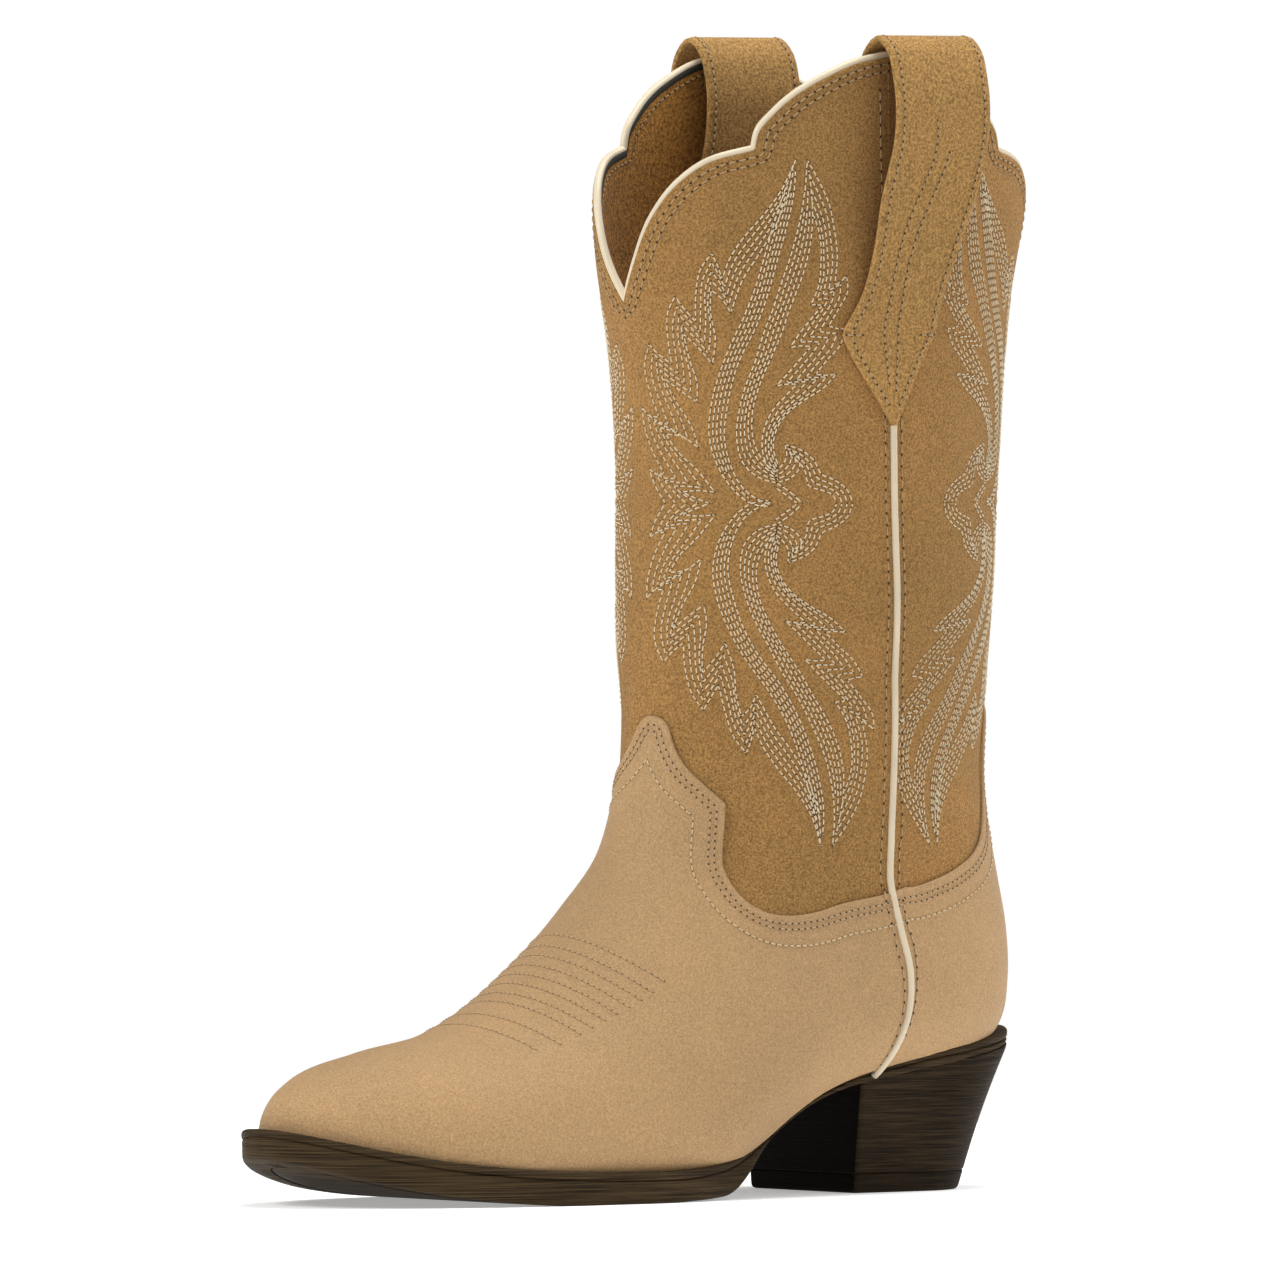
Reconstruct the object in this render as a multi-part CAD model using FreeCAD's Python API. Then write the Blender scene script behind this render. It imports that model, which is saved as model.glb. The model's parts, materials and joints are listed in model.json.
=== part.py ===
import FreeCAD, Part
import math
import os
from FreeCAD import Vector

# Pull-on western boot for the left foot, in millimetres.
# +Z is up and the heel and tread stand on z = 0.  The toe points to -Y, +X is the outer side of the foot.
# The upper is a set of plies that share one foot-and-leg form, each a constant distance from it.
# The form's own surface is the outside of the shaft leather.

os.makedirs("parts", exist_ok=True)

# ---------------------------------------------------------------- thicknesses of the plies
SHAFT_LEATHER = 1.4
FOOT_LEATHER = 1.4
LINING = 1.05
PLY_GAP = 0.05
BINDING_PROUD = 0.9
BINDING_DEPTH = 2.9
BINDING_WIDTH = 2.4
PIPING_WIDTH = 1.8
PIPING_PROUD = 1.35
STRAP_THICK = 1.8
HIDDEN_OVERLAP = 10.0
TOE_PUFF_Y = -98.0

# ---------------------------------------------------------------- sole, heel and insole sizes
WELT_THICK = 3.0
WELT_INSET = 10.0
INSOLE_THICK = 2.2
SOCK_THICK = 1.2
HEEL_PAD_THICK = 3.0
TOP_LIFT = 6.0
HEEL_BREAST_Y = 62.5
HEEL_BASE_HALF = 26.0
HEEL_BASE_BACK_Y = 116.8
HEEL_TOP_HALF = 32.0
HEEL_TOP_BACK_Y = 138.0
HEEL_TOP_Z = 50.0
NAIL_RADIUS = 1.2
NAIL_LENGTH = 26.0
BRAD_RADIUS = 0.9
BRAD_LENGTH = 14.0
BRAD_START = 0.4
RIVET_RADIUS = 2.0
PIN_SINK = 0.8
SHANK_HALF = 7.0
SHANK_THICK = 1.6

# ---------------------------------------------------------------- pull straps
LOOP_TRAVEL_GAP = 1.5
LOOP_TOP_Z = 362.0
ANCHOR_TOP_Z = 265.0
INNER_ANCHOR_Z = (268.0, 296.0)
LATERAL_LEAN = 1.0
MEDIAL_LEAN = 0.55

# ---------------------------------------------------------------- the foot-and-leg form
# Sections are cut by upright planes in the forefoot, by planes that turn about the ankle line over
# the instep, and by level planes up the leg.  A station's distance runs along those planes.
ANKLE_Y, ANKLE_Z = -72.0, 158.0
TURN = 95.0
LEG_START_Z = ANKLE_Z - TURN

# Side view of the form, toe to top: the ridge of the toe, instep and shin, then the sole and calf.
FRONT = [(-137.6, 15), (-137.6, 24), (-135.6, 31), (-126, 38.2), (-102, 45.2), (-74, 51.4),
         (-58.5, 59.2), (-39, 74.4), (-22.5, 90.5), (-9.6, 106.5), (-5.8, 119), (-2.4, 136),
         (-0.8, 150), (-1.4, 167), (-0.6, 198), (-0.6, 229), (-4, 259), (-10.6, 290),
         (-12.2, 330), (-12.2, 375)]
BACK = [(-137.6, 15), (-126, 6), (-96, 1.5), (-56, 0), (-18, 0.5), (2, 2.5), (16, 7), (30, 13.5),
        (46, 21.5), (62, 27.5), (78, 31.5), (102, 35.5), (119, 41), (128, 51), (130.2, 62),
        (130, 78), (127.3, 95), (123.2, 126), (126, 158), (129, 210), (134.8, 268), (144.0, 307),
        (146.0, 340), (146.0, 375)]

# distance, outer half width, inner half width, where the widest line lies, roundness of the front
# and of the back, and how far the section shifts to the outer side
STATIONS = [(-65.4, 3.5, 3.5, 0.70, 2.0, 2.6, -3.0), (-63.6, 9.5, 9.5, 0.68, 2.0, 2.7, -3.0),
            (-59.5, 16.0, 15.5, 0.66, 2.1, 2.8, -3.0), (-52, 23.5, 22.5, 0.65, 2.15, 3.0, -2.5),
            (-40, 31.0, 29.5, 0.64, 2.2, 3.2, -1.5), (-22, 38.5, 36.5, 0.64, 2.15, 3.2, -0.5),
            (0, 44.5, 41.0, 0.66, 2.0, 3.2, 0.0), (20, 46.5, 42.5, 0.66, 1.9, 3.1, 0.0),
            (40, 45.5, 41.0, 0.64, 1.9, 2.1, 0.0), (55, 42.5, 38.5, 0.60, 1.95, 2.3, 0.0),
            (70, 39.5, 37.0, 0.56, 2.0, 2.5, 0.0), (82, 39.5, 38.5, 0.53, 2.0, 2.2, 0.0),
            (95, 41.5, 41.0, 0.51, 2.0, 2.1, 0.0), (125, 46.0, 45.5, 0.50, 2.0, 2.05, 0.0),
            (155, 47.0, 47.0, 0.50, 2.0, 2.0, 0.0), (195, 46.5, 46.5, 0.50, 2.0, 2.0, 0.0),
            (230, 44.0, 44.0, 0.49, 2.0, 2.0, 0.0), (265, 42.0, 42.0, 0.48, 2.0, 2.0, 0.0),
            (310, 41.0, 41.0, 0.48, 2.0, 2.0, 0.0)]
SECTION_AT = [-65.4, -64.6, -63.6, -62, -59.5, -56, -52, -46, -40, -31, -22, -11, 0, 10, 20, 30, 40,
              48, 55, 62, 70, 76, 82, 88, 95, 110, 125, 140, 155, 175, 195, 212, 230, 247, 265,
              285, 307]
SECTION_POINTS = 32
QUARTERS = 4
TOE_EASE = (-40.0, -60.0)

# ---------------------------------------------------------------- outlines of the pieces
# (y, z) side views and (x, z) end views of the lines where the pieces are cut
FOOT_LINE = [(13, 120.3), (11.3, 112.5), (9.6, 102), (10.6, 96), (15, 89.5), (22, 86.3), (30, 86),
             (45, 88.9), (65.5, 92.5), (80, 95.2), (92.5, 99.2), (101.5, 103.4), (108, 109),
             (113.9, 119.8)]
TONGUE_OUTER = [(24.9, 120.3), (20.3, 127.1), (16.9, 131.5), (14.2, 137.5), (12.8, 144)]
TONGUE_PEAK = [(12.8, 144), (6, 147.4), (0.6, 144)]
TONGUE_INNER = [(0.6, 144), (-1.8, 137.5), (-7, 131.5), (-13.5, 127.1), (-24.9, 120.3)]
HEEL_TAB = [(23.5, 119.8), (21.8, 130), (21, 138), (14, 145.5), (0, 150)]
SEAM_LINE = [(64, 375), (63, 300), (61, 236), (62, 200), (64.8, 170), (67, 135), (66.3, 110),
             (65.8, 94), (68.5, 80), (71, 70), (71.2, 60), (69, 48), (66.5, 40), (62, 26), (60, -20)]
PIPING_END_Z = 235.5

# Top edge, over one quarter of the way round: angle from the front in degrees, and height.
LOW_SCALLOP = [(0, 275), (9, 286.5), (19, 301), (28, 310.5), (38.5, 317.6), (52.5, 321.8)]
DIP_MEETS_SIDE = 31
DIP_LAP = 5
HIGH_SCALLOP = [(52.5, 321.8), (54, 327.5), (58, 332.5), (64, 338.3), (72, 343.7), (81, 348.3),
                (90, 350.5)]

# Sole: (y, x) outlines of its two sides, (y, z) of its top, and of its underside past the flat tread
OUTER_EDGE = [(-145.5, -3), (-144.3, 5.5), (-141, 12.5), (-134.5, 20.5), (-124, 28.5), (-110, 36),
              (-91, 43), (-71, 47.5), (-51, 49.5), (-34, 50), (-18, 48.5), (-2, 43.5), (12, 37.5),
              (28, 33), (44, 31), (62, 31), (84, 32.5), (102, 31.5), (118, 26.5), (129, 18.5),
              (135, 9), (136.5, 0)]
INNER_EDGE = [(-145.5, -3), (-144.3, -10.5), (-141, -17), (-134.5, -24), (-124, -31),
              (-110, -37.3), (-91, -42), (-71, -44.5), (-54, -44.5), (-36, -41.5), (-18, -36.5),
              (-1, -31.5), (14, -28.5), (30, -27.5), (46, -28), (62, -29.5), (84, -31.5),
              (102, -31), (118, -26.5), (129, -18.5), (135, -9), (136.5, 0)]
SOLE_TOP = [(-145.5, 24.2), (-131, 20), (-111, 15.5), (-86, 12), (-61, 10.4), (-36, 9.7), (-22, 9.7),
            (-8, 10.6), (3, 12.2), (11, 14.6), (19, 18.4), (31, 25.8), (45, 33.2), (56, 37),
            (68, 39.7), (84, 42.8), (109, 46.2), (127, 48.6), (136.5, 50.3)]
TOE_SPRING = [(-145.5, 15), (-131, 10.2), (-111, 5.2), (-86, 1.5), (-66, 0)]
ARCH = [(-24, 0), (-14, 0.35), (-5, 0.7), (3, 1.6), (9, 3.9), (15, 8.5), (20, 13.6), (26, 18.4),
        (33, 22.6), (45, 28.6), (56, 32.3), (68, 34.8), (84, 37.6), (109, 41), (136.5, 45)]
PAD_RISE = [(-145.5, 0), (10, 0), (20, 0), (60, HEEL_PAD_THICK), (70, HEEL_PAD_THICK),
            (136.5, HEEL_PAD_THICK)]
PAD_START_Y = 34.0

# (x, y) of the fasteners
HEEL_NAILS = [(-18, 80), (18, 80), (-19, 100), (19, 100), (0, 117)]
LIFT_BRADS = [(-17, 72), (17, 72), (-17, 92), (17, 92), (0, 108)]
SHANK_RIVETS = [(0, -14), (0, 66)]
SHANK_SPAN = (-26.0, 78.0)

# Pull strap: (y, z) of its middle line and half width, and its path over the top edge as (x, z)
STRAP_MIDDLE = [(265, 0.0), (275, 0.24), (290, 0.45), (305, 0.68), (326, 0.98), (345, 1.0), (362, 1.0)]
STRAP_LEAN_Y = 16.0
STRAP_FOOT_Y = 60.5
STRAP_HALF = [(265, 17.6), (275, 15.9), (290, 16.4), (305, 18.2), (326, 18.3), (362, 18.3)]
LOOP_PATH = [(47.7, ANCHOR_TOP_Z + LOOP_TRAVEL_GAP), (49.4, 283), (51.2, 305), (52.2, 326),
             (51.0, 342), (47.8, 351.0), (42.3, 355.0), (36.4, 351.0), (33.0, 342), (32.8, 326),
             (34.8, 310), (37.2, INNER_ANCHOR_Z[1] + LOOP_TRAVEL_GAP)]
ANCHOR_TIP = (60.9, 236.2)

# Reaches of the cutting solids, past the boot on every side
WIDE = 400.0
SIDE = 170.0
FLOOR, ROOF = -40.0, 420.0
PAST_END = 9.0

# The outlines above have the boot's middle here; the pieces are saved with it on y = 0.
MIDDLE_Y = -3.07


# ---------------------------------------------------------------- curves
def smooth(places, rows):
    """A cubic through rows of values, whose slope at each row blends the chords beside it."""
    last = len(places) - 2
    width = len(rows[0])
    chords = []
    for i in range(last + 1):
        step = places[i + 1] - places[i]
        chords.append([(rows[i + 1][k] - rows[i][k]) / step for k in range(width)])
    slopes = [chords[0]]
    for i in range(1, last + 1):
        before = places[i] - places[i - 1]
        after = places[i + 1] - places[i]
        blend = [(after * chords[i - 1][k] + before * chords[i][k]) / (before + after)
                 for k in range(width)]
        slopes.append(blend)
    slopes.append(chords[-1])

    def value(place):
        i = 0
        while i < last and place > places[i + 1]:
            i += 1
        step = places[i + 1] - places[i]
        t = min(max((place - places[i]) / step, 0.0), 1.0)
        weights = (2 * t**3 - 3 * t**2 + 1, (t**3 - 2 * t**2 + t) * step,
                   3 * t**2 - 2 * t**3, (t**3 - t**2) * step)
        ends = (rows[i], slopes[i], rows[i + 1], slopes[i + 1])
        return [sum(w * row[k] for w, row in zip(weights, ends)) for k in range(width)]

    return value


def trace(points, steps=24):
    """Closely spaced points of the smooth curve through a few."""
    run = [0.0]
    for a, b in zip(points, points[1:]):
        run.append(run[-1] + math.dist(a, b))
    curve = smooth(run, points)
    count = steps * (len(points) - 1)
    return [curve(run[-1] * i / count) for i in range(count + 1)]


def spline(points, closed=False):
    """A spline edge through points."""
    curve = Part.BSplineCurve()
    curve.interpolate(Points=points, PeriodicFlag=closed)
    return curve.toShape()


def path(pairs, place):
    """One edge through (a, b) pairs that place() puts in space: a line, or a spline if longer."""
    points = [place(a, b) for a, b in pairs]
    if len(points) == 2:
        return Part.LineSegment(points[0], points[1]).toShape()
    return spline(points)


def prism(runs, place, depth):
    """The solid made by moving a closed outline, given as joined runs of pairs, along depth."""
    edges = [path(run, place) for run in runs]
    return Part.Face(Part.Wire(edges)).extrude(depth)


def side_prism(runs):
    """An outline in the side view, moved right across the boot."""
    return prism(runs, lambda y, z: Vector(-WIDE / 2, y, z), Vector(WIDE, 0, 0))


def end_prism(runs, start_y, end_y):
    """An outline in the end view, moved along the boot."""
    return prism(runs, lambda x, z: Vector(x, start_y, z), Vector(0, end_y - start_y, 0))


def polygon(*corners):
    """Straight runs round corners, without the closing one."""
    return [list(pair) for pair in zip(corners, corners[1:])]


def box(low, high):
    size = [b - a for a, b in zip(low, high)]
    return Part.makeBox(size[0], size[1], size[2], Vector(*low))


def slab(start_y, end_y, low=FLOOR, high=ROOF):
    """Everything between two planes across the boot, and between two heights."""
    return box((-SIDE, start_y, low), (SIDE, end_y, high))


def lifted(points, rise):
    return [(y, z + rise) for y, z in points]


def height(points, y):
    """Height of a (y, z) curve at y."""
    return smooth([p[0] for p in points], [[p[1]] for p in points])(y)[0]


# ---------------------------------------------------------------- the form and its plies
FRONT_TRACE = trace(FRONT)
BACK_TRACE = trace(BACK)
GIRTH = smooth([row[0] for row in STATIONS], [row[1:] for row in STATIONS])


HULLS = {}


def section_plane(distance):
    """Origin and direction, in the side view, of the section plane at a distance."""
    if distance < 0:
        return (ANKLE_Y + distance, ANKLE_Z), (0.0, -1.0)
    if distance < TURN:
        angle = math.pi / 2 * (1 - distance / TURN)
        return (ANKLE_Y, ANKLE_Z), (math.cos(angle), -math.sin(angle))
    return (ANKLE_Y, ANKLE_Z + distance - TURN), (1.0, 0.0)


def crossings(line, origin, ray):
    """How far along a ray it meets a traced line."""
    found = []
    for (ay, az), (by, bz) in zip(line, line[1:]):
        side_a = (az - origin[1]) * ray[0] - (ay - origin[0]) * ray[1]
        side_b = (bz - origin[1]) * ray[0] - (by - origin[0]) * ray[1]
        if side_a * side_b > 0 or side_a == side_b:
            continue
        part = side_a / (side_a - side_b)
        y = ay + part * (by - ay)
        z = az + part * (bz - az)
        reach = (y - origin[0]) * ray[0] + (z - origin[1]) * ray[1]
        if reach > 0:
            found.append(reach)
    return found


def section(distance, angles, offset):
    """Points of one section at angles from its front, moved outward by offset."""
    origin, ray = section_plane(distance)
    outer, inner, share, front_round, back_round, shift = GIRTH(distance)
    near = min(crossings(FRONT_TRACE, origin, ray))
    far = max(crossings(BACK_TRACE, origin, ray))
    middle = near + share * (far - near)

    def flat(angle):
        cosine, sine = math.cos(angle), math.sin(angle)
        front = cosine > 0
        power = 2 / (front_round if front else back_round)
        depth = (middle - near) if front else (far - middle)
        half = outer if sine >= 0 else -inner
        return (half * abs(sine) ** power + shift,
                middle - depth * math.copysign(abs(cosine) ** power, cosine))

    start, end = TOE_EASE
    toe = max(0.0, min(1.0, (distance - start) / (end - start)))
    step = math.pi / SECTION_POINTS
    points = []
    for angle in angles:
        before, here, after = flat(angle - step), flat(angle), flat(angle + step)
        across, along = after[0] - before[0], after[1] - before[1]
        length = math.hypot(across, along)
        x = here[0] + offset * along / length
        reach = here[1] - offset * across / length
        points.append(Vector(x, origin[0] + ray[0] * reach - offset * toe, origin[1] + ray[1] * reach))
    return points


def hull(offset):
    """The whole form as a solid, its surface moved outward by offset."""
    if offset in HULLS:
        return HULLS[offset].copy()
    angles = [math.pi * (2 * i / SECTION_POINTS - 1) for i in range(SECTION_POINTS + 1)]
    first = 2 if offset < -1.5 else 0
    rows = [section(distance, angles, offset) for distance in SECTION_AT[first:]]
    for row in rows:
        row[-1] = row[0]
    surface = Part.BSplineSurface()
    surface.interpolate(rows)
    low, high, start, end = surface.bounds()
    turns = [start + (end - start) * i / QUARTERS for i in range(QUARTERS + 1)]
    levels = [low, surface.getUKnot(len(rows) // 2), high]
    faces = []
    for left, right in zip(turns, turns[1:]):
        for below, over in zip(levels, levels[1:]):
            patch = surface.copy()
            patch.segment(below, over, left, right)
            faces.append(patch.toShape())
    for level in (low, high):
        ring = surface.uIso(level)
        faces.append(Part.Face(Part.Wire([ring.toShape(*pair) for pair in zip(turns, turns[1:])])))
    shell = Part.makeShell(faces)
    shell.sewShape()
    solid = Part.makeSolid(shell)
    if solid.Volume < 0:
        solid.reverse()
    HULLS[offset] = solid
    return solid.copy()


def ply(inner, outer, region):
    """The part of the layer between two offsets of the form that lies in a region."""
    return hull(outer).common(region).cut(hull(inner))


# ---------------------------------------------------------------- the scalloped top edge
def girth_table():
    """Distance round the top of the shaft, from the front, at each degree up to the side."""
    ring = section(310 - LEG_START_Z, [math.radians(a) for a in range(91)], 0.0)
    run = [0.0]
    for a, b in zip(ring, ring[1:]):
        run.append(run[-1] + a.distanceToPoint(b))
    return run


ROUND = girth_table()


def run_at(angle):
    low = min(int(angle), 89)
    return ROUND[low] + (angle - low) * (ROUND[low + 1] - ROUND[low])


def angle_at(run):
    low = 0
    while low < 89 and ROUND[low + 1] < run:
        low += 1
    return low + (run - ROUND[low]) / (ROUND[low + 1] - ROUND[low])


def finely(line):
    """More points on the same (angle, height) line."""
    return [tuple(pair) for pair in trace(line, 3)]


def inset_top(width):
    """The top edge moved into the leather by width, as one smooth (angle, height) line."""
    line = []
    for scallop in (LOW_SCALLOP, HIGH_SCALLOP):
        dots = trace([(run_at(a), z) for a, z in scallop], 3)
        for i, (run, z) in enumerate(dots):
            before, after = dots[max(i - 1, 0)], dots[min(i + 1, len(dots) - 1)]
            along, up = after[0] - before[0], after[1] - before[1]
            length = math.hypot(along, up)
            line.append((run + width * up / length, z - width * along / length))
        if scallop is LOW_SCALLOP:
            turn = width / math.sqrt(2)
            corner = dots[-1]
            line.append((corner[0] + turn, corner[1] - turn))
    line[-1] = (run_at(90), HIGH_SCALLOP[-1][1] - width)
    dip = LOW_SCALLOP[0][1] - width
    line.insert(0, (width / 3, dip + 0.1 * width))
    line.insert(0, (0.0, dip))
    return [(angle_at(run), z) for run, z in line]


def on_leather(line):
    """Points of (angle, height) pairs in the middle of the shaft leather."""
    return [section(z - LEG_START_Z, [math.radians(angle)], -SHAFT_LEATHER / 2)[0]
            for angle, z in line]


def over_edge(runs):
    """The space over a top edge, whose runs of (angle, height) go from the front to the side."""
    side_runs = []
    for run in runs:
        side_runs.append([pair for pair in run if pair[0] >= DIP_MEETS_SIDE - DIP_LAP])
    mirrored = [[(180 - angle, z) for angle, z in reversed(run)] for run in reversed(side_runs)]
    side_runs[-1] += mirrored.pop(0)[1:]
    outline = [[(point.y, point.z) for point in on_leather(run)] for run in side_runs + mirrored]
    start, end = outline[0][0], outline[-1][-1]
    spaces = [side_prism(outline + polygon(end, (end[0], ROOF), (start[0], ROOF), start))]
    dip = [pair for pair in runs[0] if pair[0] <= DIP_MEETS_SIDE + 2 * DIP_LAP]
    meet = section(310 - LEG_START_Z, [math.radians(DIP_MEETS_SIDE)], 0.0)[0].y
    far = section(310 - LEG_START_Z, [math.radians(180 - DIP_MEETS_SIDE)], 0.0)[0].y
    for back, low_y, high_y in ((False, -SIDE, meet), (True, far, SIDE)):
        line = [(180 - angle, z) if back else (angle, z) for angle, z in dip]
        outer = [(point.x, point.z) for point in on_leather(line)]
        outer[0] = (0.0, outer[0][1])
        inner = [(-x, z) for x, z in reversed(outer)]
        x, z = outer[-1]
        spaces.append(end_prism([inner, outer] + polygon((x, z), (x, ROOF), (-x, ROOF), (-x, z)),
                                low_y, high_y))
    return spaces


# ---------------------------------------------------------------- regions that cut the plies
def foot_region():
    """Everything below the top lines of the vamp and the heel cover."""
    start, end = FOOT_LINE[0], FOOT_LINE[-1]
    side = side_prism([FOOT_LINE] + polygon(end, (SIDE, end[1]), (SIDE, FLOOR), (-SIDE, FLOOR),
                                            (-SIDE, start[1]), start))
    base = FOOT_LINE[0][1] - 2
    (x, z), (far_x, far_z) = TONGUE_OUTER[0], TONGUE_INNER[-1]
    tongue = end_prism([TONGUE_OUTER, TONGUE_PEAK, TONGUE_INNER]
                       + polygon((far_x, far_z), (far_x, base), (x, base), (x, z)), -40, 40)
    half_tab = [(-x, z) for x, z in reversed(HEEL_TAB)]
    x, z = HEEL_TAB[0]
    tab = end_prism([HEEL_TAB, half_tab] + polygon((-x, z), (-x, base - 2), (x, base - 2), (x, z)),
                    80, SIDE)
    return side.fuse([tongue, tab])


def seam_half(front, gap):
    """The boot in front of the side seams, or behind them, less a gap."""
    shift = -gap if front else gap
    edge = -SIDE if front else SIDE
    line = [(y + shift, z) for y, z in SEAM_LINE]
    return side_prism([line] + polygon(line[-1], (edge, line[-1][1]), (edge, line[0][1]), line[0]))


def seam_strip():
    half = PIPING_WIDTH / 2
    line = [(y - half, z) for y, z in SEAM_LINE]
    back = [(y + half, z) for y, z in reversed(SEAM_LINE)]
    return side_prism([line, [line[-1], back[0]], back, [back[-1], line[0]]])


def side(outer):
    return box((0 if outer else -SIDE, -SIDE, FLOOR), (SIDE if outer else 0, SIDE, ROOF))


def stretched(points):
    """A (y, z) curve carried on a little past both ends."""
    (first_y, first_z), (last_y, last_z) = points[0], points[-1]
    first_slope = (points[1][1] - first_z) / (points[1][0] - first_y)
    last_slope = (last_z - points[-2][1]) / (last_y - points[-2][0])
    return ([(first_y - PAST_END, first_z - PAST_END * first_slope)] + list(points)
            + [(last_y + PAST_END, last_z + PAST_END * last_slope)])


def above(points):
    """The region over a (y, z) curve."""
    line = stretched(points)
    start, end = line[0], line[-1]
    return side_prism([line] + polygon(end, (SIDE, end[1]), (SIDE, ROOF), (-SIDE, ROOF),
                                       (-SIDE, start[1]), start))


def between(low, high):
    """The region between two (y, z) curves."""
    low, high = stretched(low), stretched(high)
    return side_prism([low, [low[-1], high[-1]], list(reversed(high)), [high[0], low[0]]])


# ---------------------------------------------------------------- sole pieces
def sole_edges(inset):
    """Plan points of the sole's edge, moved inward, outer side first, then back along the inner."""
    lines = [trace(OUTER_EDGE, 2), list(reversed(trace(INNER_EDGE, 2)))]
    ring = lines[0] + lines[1][1:-1]
    moved = []
    for i, (y, x) in enumerate(ring):
        before, after = ring[i - 1], ring[(i + 1) % len(ring)]
        along, across = after[0] - before[0], after[1] - before[1]
        length = math.hypot(along, across)
        moved.append(Vector(x - inset * along / length, y + inset * across / length, -5))
    return moved


def plan(inset=0.0):
    """The upright solid inside the sole's edge, or inside it by inset."""
    rim = spline(sole_edges(inset), closed=True)
    return Part.Face(Part.Wire([rim])).extrude(Vector(0, 0, 80))


def make_outsole():
    """Toe spring, flat tread, arch and heel seat below; the welt lies on its top."""
    top = list(reversed(stretched(lifted(SOLE_TOP, -WELT_THICK))))
    toe, arch = stretched(TOE_SPRING)[:-1], stretched(ARCH)[1:]
    tread = [toe[-1], arch[0]]
    body = side_prism([toe, tread, arch, [arch[-1], top[0]], top, [top[-1], toe[0]]])
    return body.common(plan())


def welt_layer():
    return between(lifted(SOLE_TOP, -WELT_THICK), SOLE_TOP)


def heel_form():
    """The heel's tapered D shape, from the floor to inside the sole."""
    wires = []
    for z, half, back in ((0.0, HEEL_BASE_HALF, HEEL_BASE_BACK_Y),
                          (HEEL_TOP_Z, HEEL_TOP_HALF, HEEL_TOP_BACK_Y)):
        centre = back - half
        front_left, front_right = Vector(-half, HEEL_BREAST_Y, z), Vector(half, HEEL_BREAST_Y, z)
        left, right = Vector(-half, centre, z), Vector(half, centre, z)
        edges = [Part.LineSegment(front_left, front_right).toShape(),
                 Part.LineSegment(front_right, right).toShape(),
                 Part.Arc(right, Vector(0, back, z), left).toShape(),
                 Part.LineSegment(left, front_left).toShape()]
        wires.append(Part.Wire(edges))
    return Part.makeLoft(wires, True, True)


def board_top(y):
    """Height of the insole board's upper face."""
    return height(SOLE_TOP, y) + INSOLE_THICK


def pins(places, radius, low, high):
    """A group of upright pins; low and high give each pin's ends from its y."""
    return [Part.makeCylinder(radius, high(y) - low(y), Vector(x, y, low(y))) for x, y in places]


# ---------------------------------------------------------------- pull straps
def strap_outline(lean, low, high):
    """The strap's two long edges in the side view, between two heights."""
    middle = smooth([p[0] for p in STRAP_MIDDLE], [[p[1]] for p in STRAP_MIDDLE])
    half = smooth([p[0] for p in STRAP_HALF], [[p[1]] for p in STRAP_HALF])
    heights = [low + (high - low) * i / 8 for i in range(9)]
    centres = [STRAP_FOOT_Y + lean * STRAP_LEAN_Y * middle(z)[0] for z in heights]
    front = [(y - half(z)[0], z) for y, z in zip(centres, heights)]
    back = [(y + half(z)[0], z) for y, z in zip(centres, heights)]
    back.reverse()
    return [front, [front[-1], back[0]], back, [back[-1], front[0]]]


def loop_band(mirror):
    """The strap's thickness along its path over the top edge, much wider than the strap."""
    dots = trace(LOOP_PATH, 3)
    rails = []
    for side_of in (1, -1):
        rail = []
        for i, (x, z) in enumerate(dots):
            before, after = dots[max(i - 1, 0)], dots[min(i + 1, len(dots) - 1)]
            across, up = after[0] - before[0], after[1] - before[1]
            reach = side_of * STRAP_THICK / 2 / math.hypot(across, up)
            rail.append((mirror * (x + reach * up), z - reach * across))
        rails.append(rail)
    rails[1].reverse()
    runs = [rails[0], [rails[0][-1], rails[1][0]], rails[1], [rails[1][-1], rails[0][0]]]
    return end_prism(runs, 30, 110)


def make_strap(outer, lean):
    """The two sewn ends of a pull strap and the free loop between them."""
    half = side(outer)
    tip = ANCHOR_TIP
    half_wide = STRAP_HALF[0][1]
    sides = [(STRAP_FOOT_Y + way * half_wide, ANCHOR_TOP_Z) for way in (-1, 1)]
    outer_shape = side_prism(polygon(sides[0], tip, sides[1], sides[0]))
    outer_end = ply(PLY_GAP, PLY_GAP + STRAP_THICK, outer_shape.common(half))
    inside = -SHAFT_LEATHER - LINING - 3 * PLY_GAP
    low, high = INNER_ANCHOR_Z
    inner_shape = side_prism(strap_outline(lean, low, high)).common(half)
    inner_end = ply(inside - STRAP_THICK, inside, inner_shape)
    reach = side_prism(strap_outline(lean, ANCHOR_TOP_Z - 1, LOOP_TOP_Z))
    loop = loop_band(1 if outer else -1).common(reach)
    return outer_end, loop, inner_end


# ---------------------------------------------------------------- build
PIECES = {}


def keep(name, shape):
    solids = sorted(shape.Solids, key=lambda solid: -solid.Volume)
    PIECES[name] = solids[0] if len(solids) == 1 else Part.makeCompound(solids)
    print("%-26s %d solid, %8.0f mm3, valid %s" % (name, len(solids), shape.Volume, shape.isValid()))


foot = foot_region()
hidden_foot = foot.translated(Vector(0, 0, -HIDDEN_OVERLAP))
over_sole = above(SOLE_TOP)
front_half = seam_half(True, PIPING_WIDTH / 2)
back_half = seam_half(False, PIPING_WIDTH / 2)
front_all = seam_half(True, 0.0)
back_all = seam_half(False, 0.0)
leather_cut = over_edge([inset_top(BINDING_WIDTH)])
edge_cut = over_edge([finely(LOW_SCALLOP), HIGH_SCALLOP])

# foot leather: the vamp in front of the side seams, the heel cover behind them
foot_ply = ply(PLY_GAP, PLY_GAP + FOOT_LEATHER, foot.common(over_sole))
keep("vamp", foot_ply.common(front_half))
keep("heel_cover", foot_ply.common(back_half))

# shaft leather, which runs a little way down inside the foot leather
shaft_ply = ply(-SHAFT_LEATHER, 0.0, over_sole).cut(hidden_foot).cut(leather_cut)
keep("shaft_front", shaft_ply.common(front_half))
keep("shaft_back", shaft_ply.common(back_half))

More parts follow.
